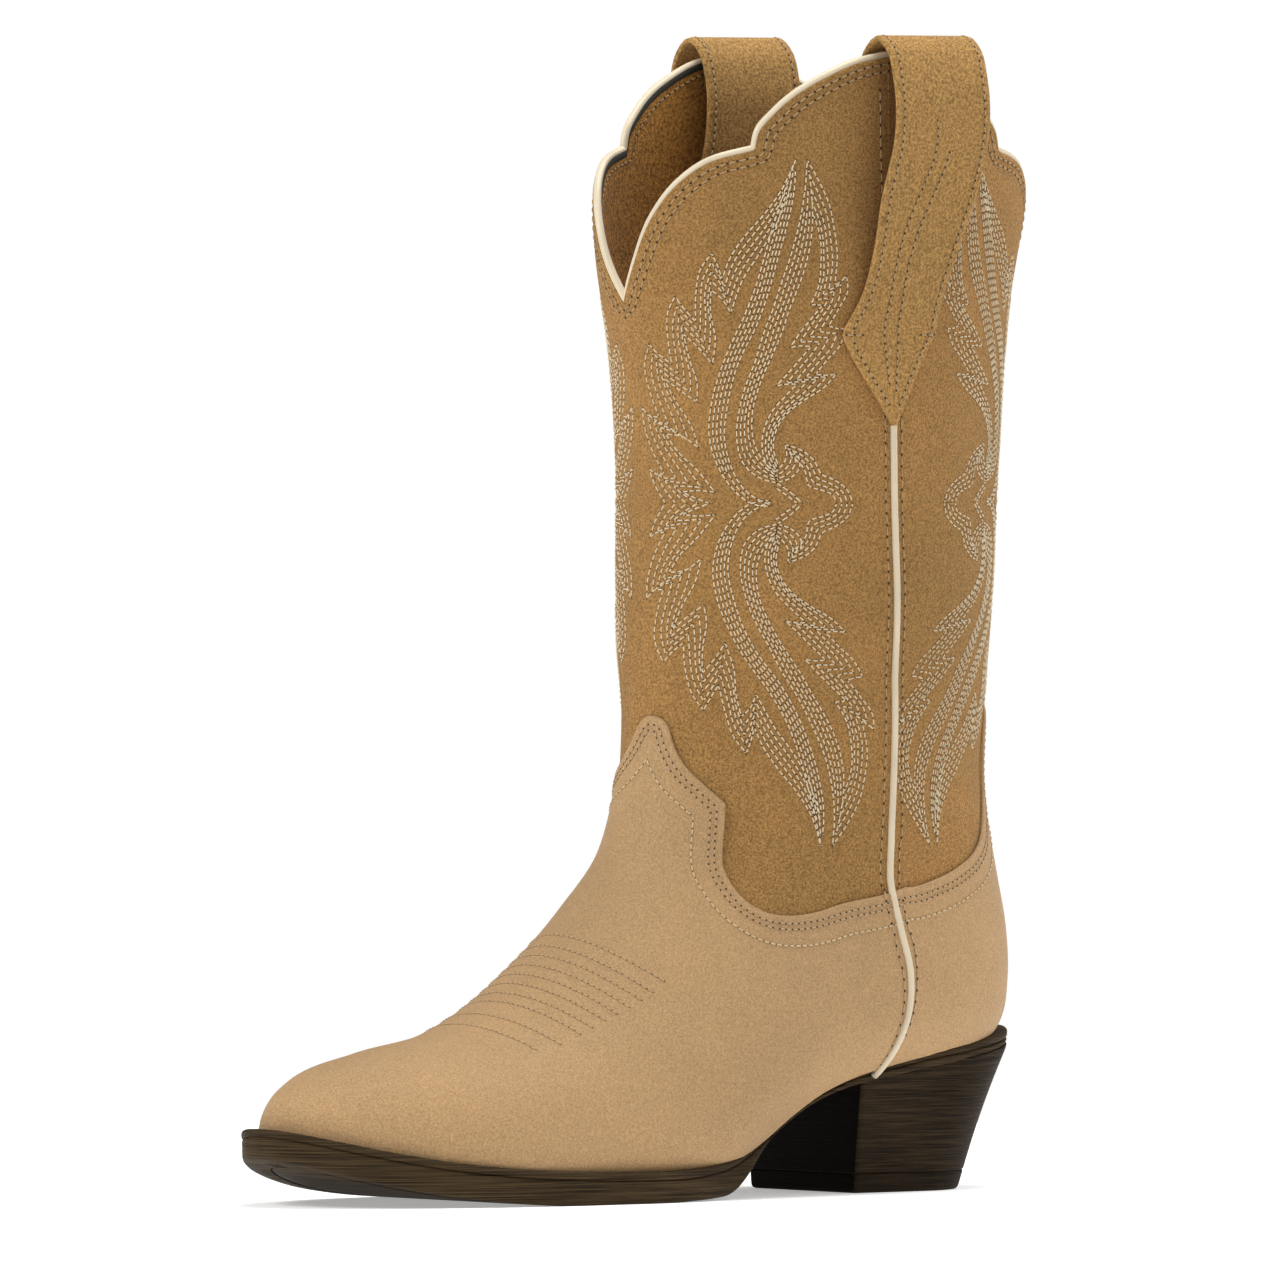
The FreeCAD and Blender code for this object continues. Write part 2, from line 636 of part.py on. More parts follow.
# stiffening between the foot leather and the lining
core = ply(-SHAFT_LEATHER, 0.0, over_sole).common(hidden_foot.translated(Vector(0, 0, -0.3)))
keep("toe_puff", core.common(slab(-SIDE, TOE_PUFF_Y)))
middle_box = slab(TOE_PUFF_Y + 0.3, SIDE)
keep("vamp_interlining", core.common(front_all).common(middle_box))
keep("heel_stiffener", core.common(back_all))

# linings
lining_out = -SHAFT_LEATHER - PLY_GAP
lining_in = lining_out - LINING
lining_ply = ply(lining_in, lining_out, over_sole)
leg_lining = lining_ply.cut(hidden_foot).cut(leather_cut)
keep("vamp_lining", lining_ply.common(hidden_foot))
keep("shaft_lining_front", leg_lining.common(front_all))
keep("shaft_lining_back", leg_lining.common(back_all))

# binding along the top edge
top_zone = slab(-SIDE, SIDE, LOW_SCALLOP[0][1] - 20, LOOP_TOP_Z)
rim = ply(-BINDING_DEPTH, BINDING_PROUD, top_zone)
binding = rim.cut(edge_cut).cut(rim.cut(leather_cut))
keep("top_binding_front", binding.common(front_all))
keep("top_binding_back", binding.common(back_all))

# piping in the side seams: proud of the leather below the straps, flush behind them
strip = seam_strip()
seam_top = slab(-SIDE, SIDE, low=PIPING_END_Z)
seam_low = slab(-SIDE, SIDE, high=PIPING_END_Z)
flush = ply(-SHAFT_LEATHER, 0.0, strip.common(seam_top)).cut(leather_cut)
proud = ply(-SHAFT_LEATHER, PIPING_PROUD, strip.common(seam_low)).cut(foot)
low = ply(PLY_GAP, PLY_GAP + FOOT_LEATHER + PIPING_PROUD, strip.common(foot).common(over_sole))
piping = flush.fuse([proud, low])
for name, outer in (("side_piping_outer", True), ("side_piping_inner", False)):
    keep(name, piping.common(side(outer)))

# pull straps
for name, outer, lean in (("outer", True, LATERAL_LEAN), ("inner", False, MEDIAL_LEAN)):
    outside_end, loop, inside_end = make_strap(outer, lean)
    keep("pull_strap_%s_outside_end" % name, outside_end)
    keep("pull_strap_%s_loop" % name, loop)
    keep("pull_strap_%s_inside_end" % name, inside_end)

# fasteners
nails = pins(HEEL_NAILS, NAIL_RADIUS, lambda y: board_top(y) - NAIL_LENGTH,
             lambda y: board_top(y) - PIN_SINK)
brads = pins(LIFT_BRADS, BRAD_RADIUS, lambda y: BRAD_START, lambda y: BRAD_START + BRAD_LENGTH)
rivets = pins(SHANK_RIVETS, RIVET_RADIUS, lambda y: height(SOLE_TOP, y) - WELT_THICK + PIN_SINK,
              lambda y: board_top(y) - PIN_SINK)
keep("heel_nails", Part.makeCompound(nails))
keep("top_lift_brads", Part.makeCompound(brads))
keep("shank_rivets", Part.makeCompound(rivets))

# bottom
inner_plan = plan(WELT_INSET)
layer = welt_layer()
keep("welt", layer.common(plan()).cut(inner_plan))
shank_low, shank_high = SHANK_SPAN
shank_zone = box((-SHANK_HALF, shank_low, FLOOR), (SHANK_HALF, shank_high, ROOF))
shank_bar = between(lifted(SOLE_TOP, -SHANK_THICK), SOLE_TOP).common(shank_zone)
keep("shank", shank_bar.cut(rivets))
keep("cork_filler", layer.common(inner_plan).cut([shank_bar] + rivets + nails))
keep("outsole", make_outsole().cut(nails))
heel = heel_form()
floor_box = slab(-SIDE, SIDE, high=TOP_LIFT)
seat_cut = above(ARCH)
heel_body = heel.common(plan()).cut(floor_box).cut(seat_cut)
keep("heel_block", heel_body.cut(nails + brads))
keep("top_lift", heel.common(floor_box).cut(brads))

# inside the foot
inside = hull(lining_in - PLY_GAP)
board = between(SOLE_TOP, lifted(SOLE_TOP, INSOLE_THICK)).common(inside)
keep("insole_board", board.cut(nails + rivets))
rise = [(y, z + INSOLE_THICK + PLY_GAP + height(PAD_RISE, y)) for y, z in SOLE_TOP]
pad = inside.common(slab(PAD_START_Y, SIDE)).common(above(lifted(SOLE_TOP, INSOLE_THICK + PLY_GAP)))
keep("heel_pad", pad.cut(above(rise)))
sock = lifted(rise, PLY_GAP)
keep("sock_liner", between(sock, lifted(sock, SOCK_THICK)).common(inside))

for name, shape in PIECES.items():
    shape.translated(Vector(0, -MIDDLE_Y, 0)).exportStep("parts/%s.step" % name)
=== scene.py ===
import json
import math
import bpy
import numpy as np
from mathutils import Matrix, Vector

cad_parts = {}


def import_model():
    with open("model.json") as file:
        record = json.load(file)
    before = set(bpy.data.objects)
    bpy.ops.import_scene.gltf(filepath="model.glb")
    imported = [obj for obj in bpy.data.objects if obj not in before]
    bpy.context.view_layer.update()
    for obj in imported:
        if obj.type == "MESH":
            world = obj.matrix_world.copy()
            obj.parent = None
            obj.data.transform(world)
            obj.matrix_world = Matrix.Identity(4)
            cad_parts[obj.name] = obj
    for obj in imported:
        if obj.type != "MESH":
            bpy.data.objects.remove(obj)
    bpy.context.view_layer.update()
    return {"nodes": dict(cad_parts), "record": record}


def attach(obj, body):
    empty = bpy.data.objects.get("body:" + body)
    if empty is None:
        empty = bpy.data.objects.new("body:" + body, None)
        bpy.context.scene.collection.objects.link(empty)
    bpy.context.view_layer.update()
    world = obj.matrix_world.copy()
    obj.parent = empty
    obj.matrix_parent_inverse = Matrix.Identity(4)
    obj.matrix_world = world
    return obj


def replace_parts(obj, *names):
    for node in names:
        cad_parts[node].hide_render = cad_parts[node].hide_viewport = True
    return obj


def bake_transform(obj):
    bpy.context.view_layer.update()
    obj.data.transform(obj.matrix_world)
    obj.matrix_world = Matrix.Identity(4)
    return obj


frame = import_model()

# The looks of a pull-on western boot.  Outlines are in millimetres, as in the part's source, and
# world() puts them in the row frame in metres.
MM = 0.001
MIDDLE_Y = -3.07

# ---- the foot-and-leg form
ANKLE_Y, ANKLE_Z = -72.0, 158.0
TURN = 95.0
LEG_START_Z = ANKLE_Z - TURN
TOE_LEVEL = -65.4
FRONT = [(-137.6, 15), (-137.6, 24), (-135.6, 31), (-126, 38.2), (-102, 45.2), (-74, 51.4),
    (-58.5, 59.2), (-39, 74.4), (-22.5, 90.5), (-9.6, 106.5), (-5.8, 119), (-2.4, 136), (-0.8, 150),
    (-1.4, 167), (-0.6, 198), (-0.6, 229), (-4, 259), (-10.6, 290), (-12.2, 330), (-12.2, 375)]
BACK = [(-137.6, 15), (-126, 6), (-96, 1.5), (-56, 0), (-18, 0.5), (2, 2.5), (16, 7), (30, 13.5),
    (46, 21.5), (62, 27.5), (78, 31.5), (102, 35.5), (119, 41), (128, 51), (130.2, 62), (130, 78),
    (127.3, 95), (123.2, 126), (126, 158), (129, 210), (134.8, 268), (144.0, 307), (146.0, 340),
    (146.0, 375)]
# level, outer half width, inner half width, where the widest line lies, roundness of the front
# and of the back, and how far the section shifts to the outer side
STATIONS = [(-65.4, 3.5, 3.5, 0.70, 2.0, 2.6, -3.0), (-63.6, 9.5, 9.5, 0.68, 2.0, 2.7, -3.0),
    (-59.5, 16.0, 15.5, 0.66, 2.1, 2.8, -3.0), (-52, 23.5, 22.5, 0.65, 2.15, 3.0, -2.5),
    (-40, 31.0, 29.5, 0.64, 2.2, 3.2, -1.5), (-22, 38.5, 36.5, 0.64, 2.15, 3.2, -0.5),
    (0, 44.5, 41.0, 0.66, 2.0, 3.2, 0.0), (20, 46.5, 42.5, 0.66, 1.9, 3.1, 0.0),
    (40, 45.5, 41.0, 0.64, 1.9, 2.1, 0.0), (55, 42.5, 38.5, 0.60, 1.95, 2.3, 0.0),
    (70, 39.5, 37.0, 0.56, 2.0, 2.5, 0.0), (82, 39.5, 38.5, 0.53, 2.0, 2.2, 0.0),
    (95, 41.5, 41.0, 0.51, 2.0, 2.1, 0.0), (125, 46.0, 45.5, 0.50, 2.0, 2.05, 0.0),
    (155, 47.0, 47.0, 0.50, 2.0, 2.0, 0.0), (195, 46.5, 46.5, 0.50, 2.0, 2.0, 0.0),
    (230, 44.0, 44.0, 0.49, 2.0, 2.0, 0.0), (265, 42.0, 42.0, 0.48, 2.0, 2.0, 0.0),
    (310, 41.0, 41.0, 0.48, 2.0, 2.0, 0.0)]

# ---- outlines
# side views (y, z), end views (x, z), and lines round the boot (degrees from the front, height
# or level)
FOOT_LINE = [(13, 120.3), (11.3, 112.5), (9.6, 102), (10.6, 96), (15, 89.5), (22, 86.3), (30, 86),
    (45, 88.9), (65.5, 92.5), (80, 95.2), (92.5, 99.2), (101.5, 103.4), (108, 109), (113.9, 119.8)]
TONGUE_SIDE = [(17, 83.8), (20.5, 78.8), (25.5, 74.8), (31, 72.5)]
TONGUE_TOP = [(17, 83.8), (14, 85.3), (9.5, 86.0), (4.5, 85.2), (1, 82.5)]
TONGUE_INNER = [(1, 82.5), (-2.6, 78.6), (-9.5, 74.4), (-19, 72)]
TAB_SIDE = [(146.5, 83.5), (149, 88), (153, 90.5), (165, 92.7), (180, 93.5)]
SEAM_LINE = [(60, -20), (62, 26), (66.5, 40), (69, 48), (71.2, 60), (71, 70), (68.5, 80),
    (65.8, 94), (66.3, 110), (67, 135), (64.8, 170), (62, 200), (61, 236), (63, 300), (64, 375)]
LOW_SCALLOP = [(0, 275), (9, 286.5), (19, 301), (28, 310.5), (38.5, 317.6), (52.5, 321.8)]
HIGH_SCALLOP = [(52.5, 321.8), (54, 327.5), (58, 332.5), (64, 338.3), (72, 343.7), (81, 348.3),
    (90, 350.5)]
OUTER_EDGE = [(-145.5, -3), (-144.3, 5.5), (-141, 12.5), (-134.5, 20.5), (-124, 28.5), (-110, 36),
    (-91, 43), (-71, 47.5), (-51, 49.5), (-34, 50), (-18, 48.5), (-2, 43.5), (12, 37.5), (28, 33),
    (44, 31), (62, 31), (84, 32.5), (102, 31.5), (118, 26.5), (129, 18.5), (135, 9), (136.5, 0)]
INNER_EDGE = [(-145.5, -3), (-144.3, -10.5), (-141, -17), (-134.5, -24), (-124, -31), (-110, -37.3),
    (-91, -42), (-71, -44.5), (-54, -44.5), (-36, -41.5), (-18, -36.5), (-1, -31.5), (14, -28.5),
    (30, -27.5), (46, -28), (62, -29.5), (84, -31.5), (102, -31), (118, -26.5), (129, -18.5),
    (135, -9), (136.5, 0)]
SOLE_TOP = [(-145.5, 24.2), (-131, 20), (-111, 15.5), (-86, 12), (-61, 10.4), (-36, 9.7),
    (-22, 9.7), (-8, 10.6), (3, 12.2), (11, 14.6), (19, 18.4), (31, 25.8), (45, 33.2), (56, 37),
    (68, 39.7), (84, 42.8), (109, 46.2), (127, 48.6), (136.5, 50.3)]
UNDERSIDE = [(-145.5, 15), (-131, 10.2), (-111, 5.2), (-86, 1.5), (-66, 0), (-45, 0), (-24, 0),
    (-14, 0.35), (-5, 0.7), (3, 1.6), (9, 3.9), (15, 8.5), (20, 13.6), (26, 18.4), (33, 22.6),
    (45, 28.6), (56, 32.3), (68, 34.8), (84, 37.6), (109, 41), (136.5, 45)]
HEEL_BREAST_Y = 62.5
HEEL_BASE = (26.0, 116.8)
HEEL_TOP = (32.0, 138.0)
HEEL_TOP_Z = 50.0
HEEL_MIDDLE_Y = 98.0
TOP_LIFT = 6.0

# Pull strap: (z, share of the lean), (z, half width), how far its middle layer lies off the form,
# a line between sewn end and loop in metres (the strap is not bent about it), and its path over the
# top edge as (x, z)
STRAP_MIDDLE = [(236, 0.0), (265, 0.0), (275, 0.24), (290, 0.45), (305, 0.68), (326, 0.98),
    (345, 1.0), (362, 1.0)]
STRAP_HALF = [(265, 17.6), (275, 15.9), (290, 16.4), (305, 18.2), (326, 18.3), (362, 18.3)]
STRAP_LEAN_Y = 16.0
STRAP_FOOT_Y = 60.5
STRAP_TIP_Z = 236.2
STRAP_CORNER_Z = 265.0
STRAP_THICK = 1.8
STRAP_OUT, STRAP_IN = 1.0, -3.9
STRAP_END_LOW, STRAP_END_HIGH = 268, 295.5
STRAP_BEND = (0.047, 0.064), 0.296, 0.350
LOOP_PATH = [(47.7, 266.5), (49.4, 283), (51.2, 305), (52.2, 326), (51.0, 342), (47.8, 351.0),
    (42.3, 355.0), (36.4, 351.0), (33.0, 342), (32.8, 326), (34.8, 310), (37.2, 297.5)]


def unit(vectors):
    """The same directions with a length of one."""
    return vectors / (np.linalg.norm(vectors, axis=-1, keepdims=True) + 1e-12)


def run_along(points):
    """The distance along a line at each of its points."""
    return np.r_[0, np.cumsum(np.linalg.norm(np.diff(points, axis=0), axis=1))]


def placed(at, run, points):
    """Points of a line at distances along it."""
    return np.stack([np.interp(at, run, column) for column in points.T], -1)


def eased(share):
    """0 to 1, with a gentle start and end."""
    share = np.clip(share, 0, 1)
    return share * share * (3 - 2 * share)


def smooth(places, rows):
    """A cubic through rows of values, whose slope at each row blends the chords beside it."""
    places = np.asarray(places, float)
    rows = np.asarray(rows, float)
    step = np.diff(places)
    chords = np.diff(rows, axis=0) / step[:, None]
    slopes = np.empty_like(rows)
    slopes[0], slopes[-1] = chords[0], chords[-1]
    weighted = step[1:, None] * chords[:-1] + step[:-1, None] * chords[1:]
    slopes[1:-1] = weighted / (step[1:] + step[:-1])[:, None]

    def value(place):
        place = np.asarray(place, float)
        i = np.clip(np.searchsorted(places, place) - 1, 0, len(step) - 1)
        h = step[i]
        t = np.clip((place - places[i]) / h, 0, 1)[..., None]
        h = h[..., None]
        return ((2 * t**3 - 3 * t**2 + 1) * rows[i] + (t**3 - 2 * t**2 + t) * h * slopes[i]
                + (3 * t**2 - 2 * t**3) * rows[i + 1] + (t**3 - t**2) * h * slopes[i + 1])

    return value


def trace(points, count):
    """Evenly spaced points of the smooth curve through a few."""
    points = np.asarray(points, float)
    run = run_along(points)
    return smooth(run, points)(np.linspace(0, run[-1], count))


def even(points, step):
    """The same line with its points step apart."""
    run = run_along(points)
    return placed(np.linspace(0, run[-1], max(2, int(round(run[-1] / step)) + 1)), run, points)


def graph(points):
    """The smooth function through (place, value) pairs."""
    value = smooth([p[0] for p in points], [p[1:] for p in points])
    return lambda place: value(place)[..., 0]


sole_top = graph(SOLE_TOP)
underside = graph(UNDERSIDE)
seam_y = graph([(z, y) for y, z in SEAM_LINE])
GIRTH = smooth([row[0] for row in STATIONS], [row[1:] for row in STATIONS])
FRONT_TRACE = trace(FRONT, 480)
BACK_TRACE = trace(BACK, 480)


def section_plane(level):
    """Origin and direction, in the side view, of the section plane at each level."""
    level = np.asarray(level, float)
    angle = np.pi / 2 * (1 - np.clip(level, 0, TURN) / TURN)
    origin = np.stack([ANKLE_Y + np.minimum(level, 0), ANKLE_Z + np.maximum(level - TURN, 0)], -1)
    return origin, np.stack([np.cos(angle), -np.sin(angle)], -1)


def crossings(line, origin, ray):
    """How far along a ray it meets a traced line."""
    side = (line[:, 1] - origin[1]) * ray[0] - (line[:, 0] - origin[0]) * ray[1]
    hit = (side[:-1] * side[1:] <= 0) & (side[:-1] != side[1:])
    part = side[:-1][hit] / (side[:-1] - side[1:])[hit]
    at = line[:-1][hit] + part[:, None] * np.diff(line, axis=0)[hit]
    reach = (at - origin) @ ray
    return reach[reach > 0]


LEVELS = np.arange(TOE_LEVEL, 311, 0.5)
NEAR = np.array([crossings(FRONT_TRACE, *section_plane(level)).min() for level in LEVELS])
FAR = np.array([crossings(BACK_TRACE, *section_plane(level)).max() for level in LEVELS])


def depths(level, share):
    """How far along the section's ray its front, widest line and back are."""
    near, far = np.interp(level, LEVELS, NEAR), np.interp(level, LEVELS, FAR)
    return near, near + share * (far - near), far


def level_of(y, z):
    """The level whose section passes through (y, z) in the side view."""
    drop = np.degrees(np.arctan2(ANKLE_Z - z, y - ANKLE_Y))
    return np.where(z >= ANKLE_Z, z - LEG_START_Z, TURN * (1 - drop / 90))


def form(angle, level):
    """Points of the form at degrees round from its front, and levels along it."""
    level = np.clip(level, TOE_LEVEL, LEVELS[-1])
    angle = np.radians(np.asarray(angle, float))
    angle, level = np.broadcast_arrays(angle, level)
    cosine, sine = np.cos(angle), np.sin(angle)
    outer, inner, share, front_round, back_round, shift = np.moveaxis(GIRTH(level), -1, 0)
    near, middle, far = depths(level, share)
    power = 2 / np.where(cosine > 0, front_round, back_round)
    depth = np.where(cosine > 0, middle - near, far - middle)
    x = np.where(sine >= 0, outer, -inner) * np.abs(sine) ** power + shift
    reach = middle - depth * np.sign(cosine) * np.abs(cosine) ** power
    origin, ray = section_plane(level)
    return np.concatenate([x[..., None], origin + ray * reach[..., None]], -1)


def skin(angle, level, offset=0.0):
    """Points of the form moved outward by offset, and the outward directions there."""
    across = form(np.add(angle, 1.2), level) - form(np.subtract(angle, 1.2), level)
    up = form(angle, np.add(level, 0.8)) - form(angle, np.subtract(level, 0.8))
    normal = unit(np.cross(across, up))
    return form(angle, level) + np.asarray(offset, float)[..., None] * normal, normal


def at_side(y, z):
    """(angle, level) of the outer side's point at (y, z)."""
    y, z = np.asarray(y, float), np.asarray(z, float)
    level = level_of(y, z)
    reach = np.where(z >= ANKLE_Z, y - ANKLE_Y, np.hypot(ANKLE_Z - z, y - ANKLE_Y))
    _, _, share, front_round, back_round, _ = np.moveaxis(GIRTH(level), -1, 0)
    near, middle, far = depths(level, share)
    front = reach < middle
    ratio = np.where(front, (middle - reach) / (middle - near), (reach - middle) / (far - middle))
    power = np.where(front, front_round, back_round) / 2
    cosine = np.clip(ratio, 0, 1) ** power * np.where(front, 1, -1)
    return np.stack([np.degrees(np.arccos(cosine)), level], -1)


ROUND_ANGLES = np.arange(0, 181.0, 1.0)
ROUND_STEP = 2.0
ROUND_LEVELS = np.arange(40, 300, ROUND_STEP)
ROUND = np.array([run_along(form(ROUND_ANGLES, level)) for level in ROUND_LEVELS])


def at_girth(run, z, back=False):
    """(angle, level) of points a distance round from the front or back line, at a height."""
    level = np.asarray(z, float) - LEG_START_Z
    for _ in range(5):
        i = np.clip(np.searchsorted(ROUND_LEVELS, level), 1, len(ROUND_LEVELS) - 1)
        part = np.clip((level - ROUND_LEVELS[i - 1]) / ROUND_STEP, 0, 1)[:, None]
        table = ROUND[i - 1] * (1 - part) + ROUND[i] * part
        round_front = table[:, -1] - run if back else run
        angle = np.array([np.interp(r, row, ROUND_ANGLES) for r, row in zip(round_front, table)])
        point = form(angle, level)
        level = level_of(point[:, 1], z)
    return np.stack([angle, level], -1)


def world(points):
    """Millimetres in the outlines' frame to metres in the row frame."""
    return (np.asarray(points, float) - [0, MIDDLE_Y, 0]) * MM


# ---- materials
def noise(tree, scale, detail=2.0, rough=0.5, stretch=None):
    """A noise texture in object space, its features about 1 / scale metres across."""
    place = tree.nodes.new("ShaderNodeTexCoord").outputs["Object"]
    if stretch:
        mapping = tree.nodes.new("ShaderNodeMapping")
        mapping.inputs["Scale"].default_value = stretch
        tree.links.new(place, mapping.inputs["Vector"])
        place = mapping.outputs["Vector"]
    texture = tree.nodes.new("ShaderNodeTexNoise")
    for socket, value in (("Scale", scale), ("Detail", detail), ("Roughness", rough)):
        texture.inputs[socket].default_value = value
    tree.links.new(place, texture.inputs["Vector"])
    return texture.outputs["Fac"]


def ramp(tree, factor, low, dark, high, light):
    """Colours, or greys, from dark to light as factor goes from low to high."""
    node = tree.nodes.new("ShaderNodeValToRGB")
    for stop, place, color in zip(node.color_ramp.elements, (low, high), (dark, light)):
        stop.position = place
        stop.color = (*(np.ones(3) * color), 1)
    tree.links.new(factor, node.inputs["Fac"])
    return node.outputs["Color"]


def multiply(tree, a, b):
    mix = tree.nodes.new("ShaderNodeMix")
    mix.data_type = "RGBA"
    mix.blend_type = "MULTIPLY"
    mix.inputs["Factor"].default_value = 1.0
    tree.links.new(a, mix.inputs["A"])
    tree.links.new(b, mix.inputs["B"])
    return mix.outputs["Result"]


def bump(tree, height, strength, distance, before=None):
    node = tree.nodes.new("ShaderNodeBump")
    node.inputs["Strength"].default_value = strength
    node.inputs["Distance"].default_value = distance
    tree.links.new(height, node.inputs["Height"])
    if before:
        tree.links.new(before, node.inputs["Normal"])
    return node.outputs["Normal"]


def material(name, roughness, sheen=0.0, specular=0.5, metal=0.0):
    """A new material, its node tree, and a call that joins a colour and a normal to its shader."""
    made = bpy.data.materials.new(name)
    made.use_nodes = True
    tree = made.node_tree
    shader = tree.nodes["Principled BSDF"]
    for socket, value in (("Roughness", roughness), ("Sheen Weight", sheen), ("Metallic", metal),
                          ("Sheen Roughness", 0.45), ("Specular IOR Level", specular)):
        shader.inputs[socket].default_value = value

    def finished(color, normal=None):
        tree.links.new(color, shader.inputs["Base Color"])
        if normal:
            tree.links.new(normal, shader.inputs["Normal"])
        return made

    return tree, finished


def suede(name, color, nap=1500.0, contrast=0.5, depth=0.0009, mottle=0.10, rough=0.95, gloss=0.12):
    """Brushed leather: short nap in clumps, broad patches where it lies another way."""
    tree, finished = material(name, rough, 0.05, gloss)
    clumps = noise(tree, nap, 3.0, 0.7)
    fine = noise(tree, nap * 2.4, 2.0, 0.6)
    patches = noise(tree, 14.0, 4.0, 0.6)
    warm = color * (1 + mottle * np.array((1, 0.7, 0.5)))
    base = ramp(tree, patches, 0.36, color * (1 - mottle), 0.64, warm)
    grain = ramp(tree, clumps, 0.36, 1 - contrast, 0.64, 1 + contrast * 0.5)
    flecks = ramp(tree, fine, 0.40, 0.86, 0.66, 1.12)
    tone = multiply(tree, multiply(tree, base, grain), flecks)
    return finished(tone, bump(tree, fine, 0.4, depth * 0.5, bump(tree, clumps, 0.6, depth)))


def smooth_leather(name, color, roughness=0.42):
    tree, finished = material(name, roughness, 0.0, 0.45)
    tone = ramp(tree, noise(tree, 90.0, 3.0), 0.3, color * 0.9, 0.7, color)
    return finished(tone, bump(tree, noise(tree, 1800.0), 0.25, 0.0002))


def thread(name, color):
    tree, finished = material(name, 0.62, 0.2, 0.4)
    twist = noise(tree, 2600.0)
    tone = ramp(tree, twist, 0.32, color * 0.72, 0.62, color)
    return finished(tone, bump(tree, twist, 0.5, 0.0002))


def layered(name, dark, light, stretch, roughness=0.62):
    """Wood-like grain lines that run along the edge of the sole and the lifts of the heel."""
    tree, finished = material(name, roughness, 0.0, 0.07)
    lines = noise(tree, 1.0, 4.0, 0.65, stretch)
    grain = ramp(tree, lines, 0.38, dark * DARK_BROWN, 0.68, light * DARK_BROWN)
    shade = ramp(tree, noise(tree, 26.0, 3.0), 0.3, 0.78, 0.7, 1.08)
    return finished(multiply(tree, grain, shade), bump(tree, lines, 0.6, 0.0006))


def fibrous(name, color, scale=500.0, roughness=0.85):
    """Board, felt, cork or foam inside the boot, and the painted shade inside a needle hole."""
    tree, finished = material(name, roughness)
    bits = noise(tree, scale, 3.0, 0.7)
    tone = ramp(tree, bits, 0.35, color * 0.7, 0.65, color * 1.15)
    return finished(tone, bump(tree, bits, 0.4, 0.0004))


def brushed_metal(name, color):
    tree, finished = material(name, 0.38, metal=1.0)
    lines = noise(tree, 1.0, 2.0, 0.5, (300, 300, 3000))
    return finished(ramp(tree, lines, 0.3, color * 0.8, 0.7, color), bump(tree, lines, 0.2, 0.0001))


def rgb(*channels):
    return np.array(channels)


SHAFT_TAN = rgb(0.362, 0.2, 0.067)
FOOT_TAN = rgb(0.442, 0.278, 0.13)
STRAP_TAN = rgb(0.418, 0.242, 0.081)
LINING_BROWN = rgb(0.44, 0.215, 0.05)
DARK_BROWN = rgb(0.026, 0.0165, 0.0075)
shaft_suede = suede("shaft_suede", SHAFT_TAN, depth=0.0007)
foot_suede = suede("foot_suede", FOOT_TAN, contrast=0.26, mottle=0.08, depth=0.0004, rough=0.6,
                   gloss=0.25)
strap_suede = suede("strap_suede", STRAP_TAN, nap=1150.0)
lining_suede = suede("lining_leather", LINING_BROWN, nap=900.0, contrast=0.55)
edge_tape = fibrous("lining_edge_tape", rgb(0.030, 0.028, 0.020), 1500.0)
piping_leather = smooth_leather("piping_leather", rgb(0.66, 0.56, 0.40))
cream_thread = thread("cream_thread", rgb(0.74, 0.61, 0.40))
tan_thread = thread("tan_thread", rgb(0.44, 0.29, 0.13))
pale_thread = thread("pale_thread", rgb(0.66, 0.50, 0.28))
foot_thread = thread("foot_thread", rgb(0.50, 0.33, 0.17))
# needle holes: flat dark discs of painted shade inside the holes, lighter on the foot's
# tone-on-tone sewing
hole_shade = fibrous("stitch_hole_shade", rgb(0.050, 0.026, 0.010), 3000.0, 0.95)
foot_hole_shade = fibrous("foot_stitch_hole_shade", rgb(0.150, 0.085, 0.035), 3000.0, 0.95)
sole_grain = layered("sole_edge", 0.6, 3.2, (30, 30, 3200))
heel_grain = layered("heel_stack", 0.25, 2.0, (45, 45, 3400))
# the heel's breast: finer, smoother lines than the stack, and much darker with painted shade from
# the arch above it
heel_breast_shade = layered("heel_breast_shade", 0.10, 0.16, (60, 60, 900), 0.75)
lift_rubber = layered("top_lift", 0.3, 1.5, (45, 45, 3400), 0.65)
INNER_LOOKS = {
    "board": fibrous("board", rgb(0.40, 0.31, 0.20), 700.0),
    "stiffener": fibrous("stiffener", rgb(0.52, 0.46, 0.36), 900.0),
    "sock": smooth_leather("sock", rgb(0.16, 0.09, 0.045), 0.55),
    "foam": fibrous("foam", rgb(0.13, 0.13, 0.135), 1400.0),
    "cork": fibrous("cork", rgb(0.36, 0.22, 0.10), 350.0),
    "steel": brushed_metal("steel", rgb(0.55, 0.55, 0.56)),
    "lining_leather": lining_suede,
    "sole_edge": sole_grain,
}


# ---- meshes
def mesh_piece(name, points, faces, look, body="boot", flat=False):
    """A mesh of world points that rides on a body and takes its finish from a slot."""
    mesh = bpy.data.meshes.new(name)
    mesh.from_pydata([tuple(p) for p in points], [], [tuple(f) for f in faces])
    mesh.polygons.foreach_set("use_smooth", [not flat] * len(mesh.polygons))
    mesh.materials.append(look)
    mesh.update()
    piece = bpy.data.objects.new(name, mesh)
    bpy.context.scene.collection.objects.link(piece)
    if body:
        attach(piece, body)
    return piece


def grid_faces(rows, columns, closed=False):
    """Quads of a rows x columns lattice of points, wrapped round if closed."""
    wide = columns if closed else columns - 1
    r, c = np.meshgrid(np.arange(rows - 1), np.arange(wide), indexing="ij")
    after = (c + 1) % columns
    quads = np.stack([r * columns + c, r * columns + after, (r + 1) * columns + after,
                      (r + 1) * columns + c], -1)
    return quads.reshape(-1, 4)


def tube(centres, normals, radius, sides, squash):
    """A lattice round a line; squash flattens it along the normals."""
    tangent = unit(np.gradient(centres, axis=0))
    side = unit(np.cross(tangent, normals))
    out = np.cross(side, tangent)
    turn = np.linspace(0, 2 * np.pi, sides, endpoint=False)
    ring = (np.cos(turn)[:, None] * side[:, None, :]
            + squash * np.sin(turn)[:, None] * out[:, None, :])
    return centres[:, None, :] + radius * ring


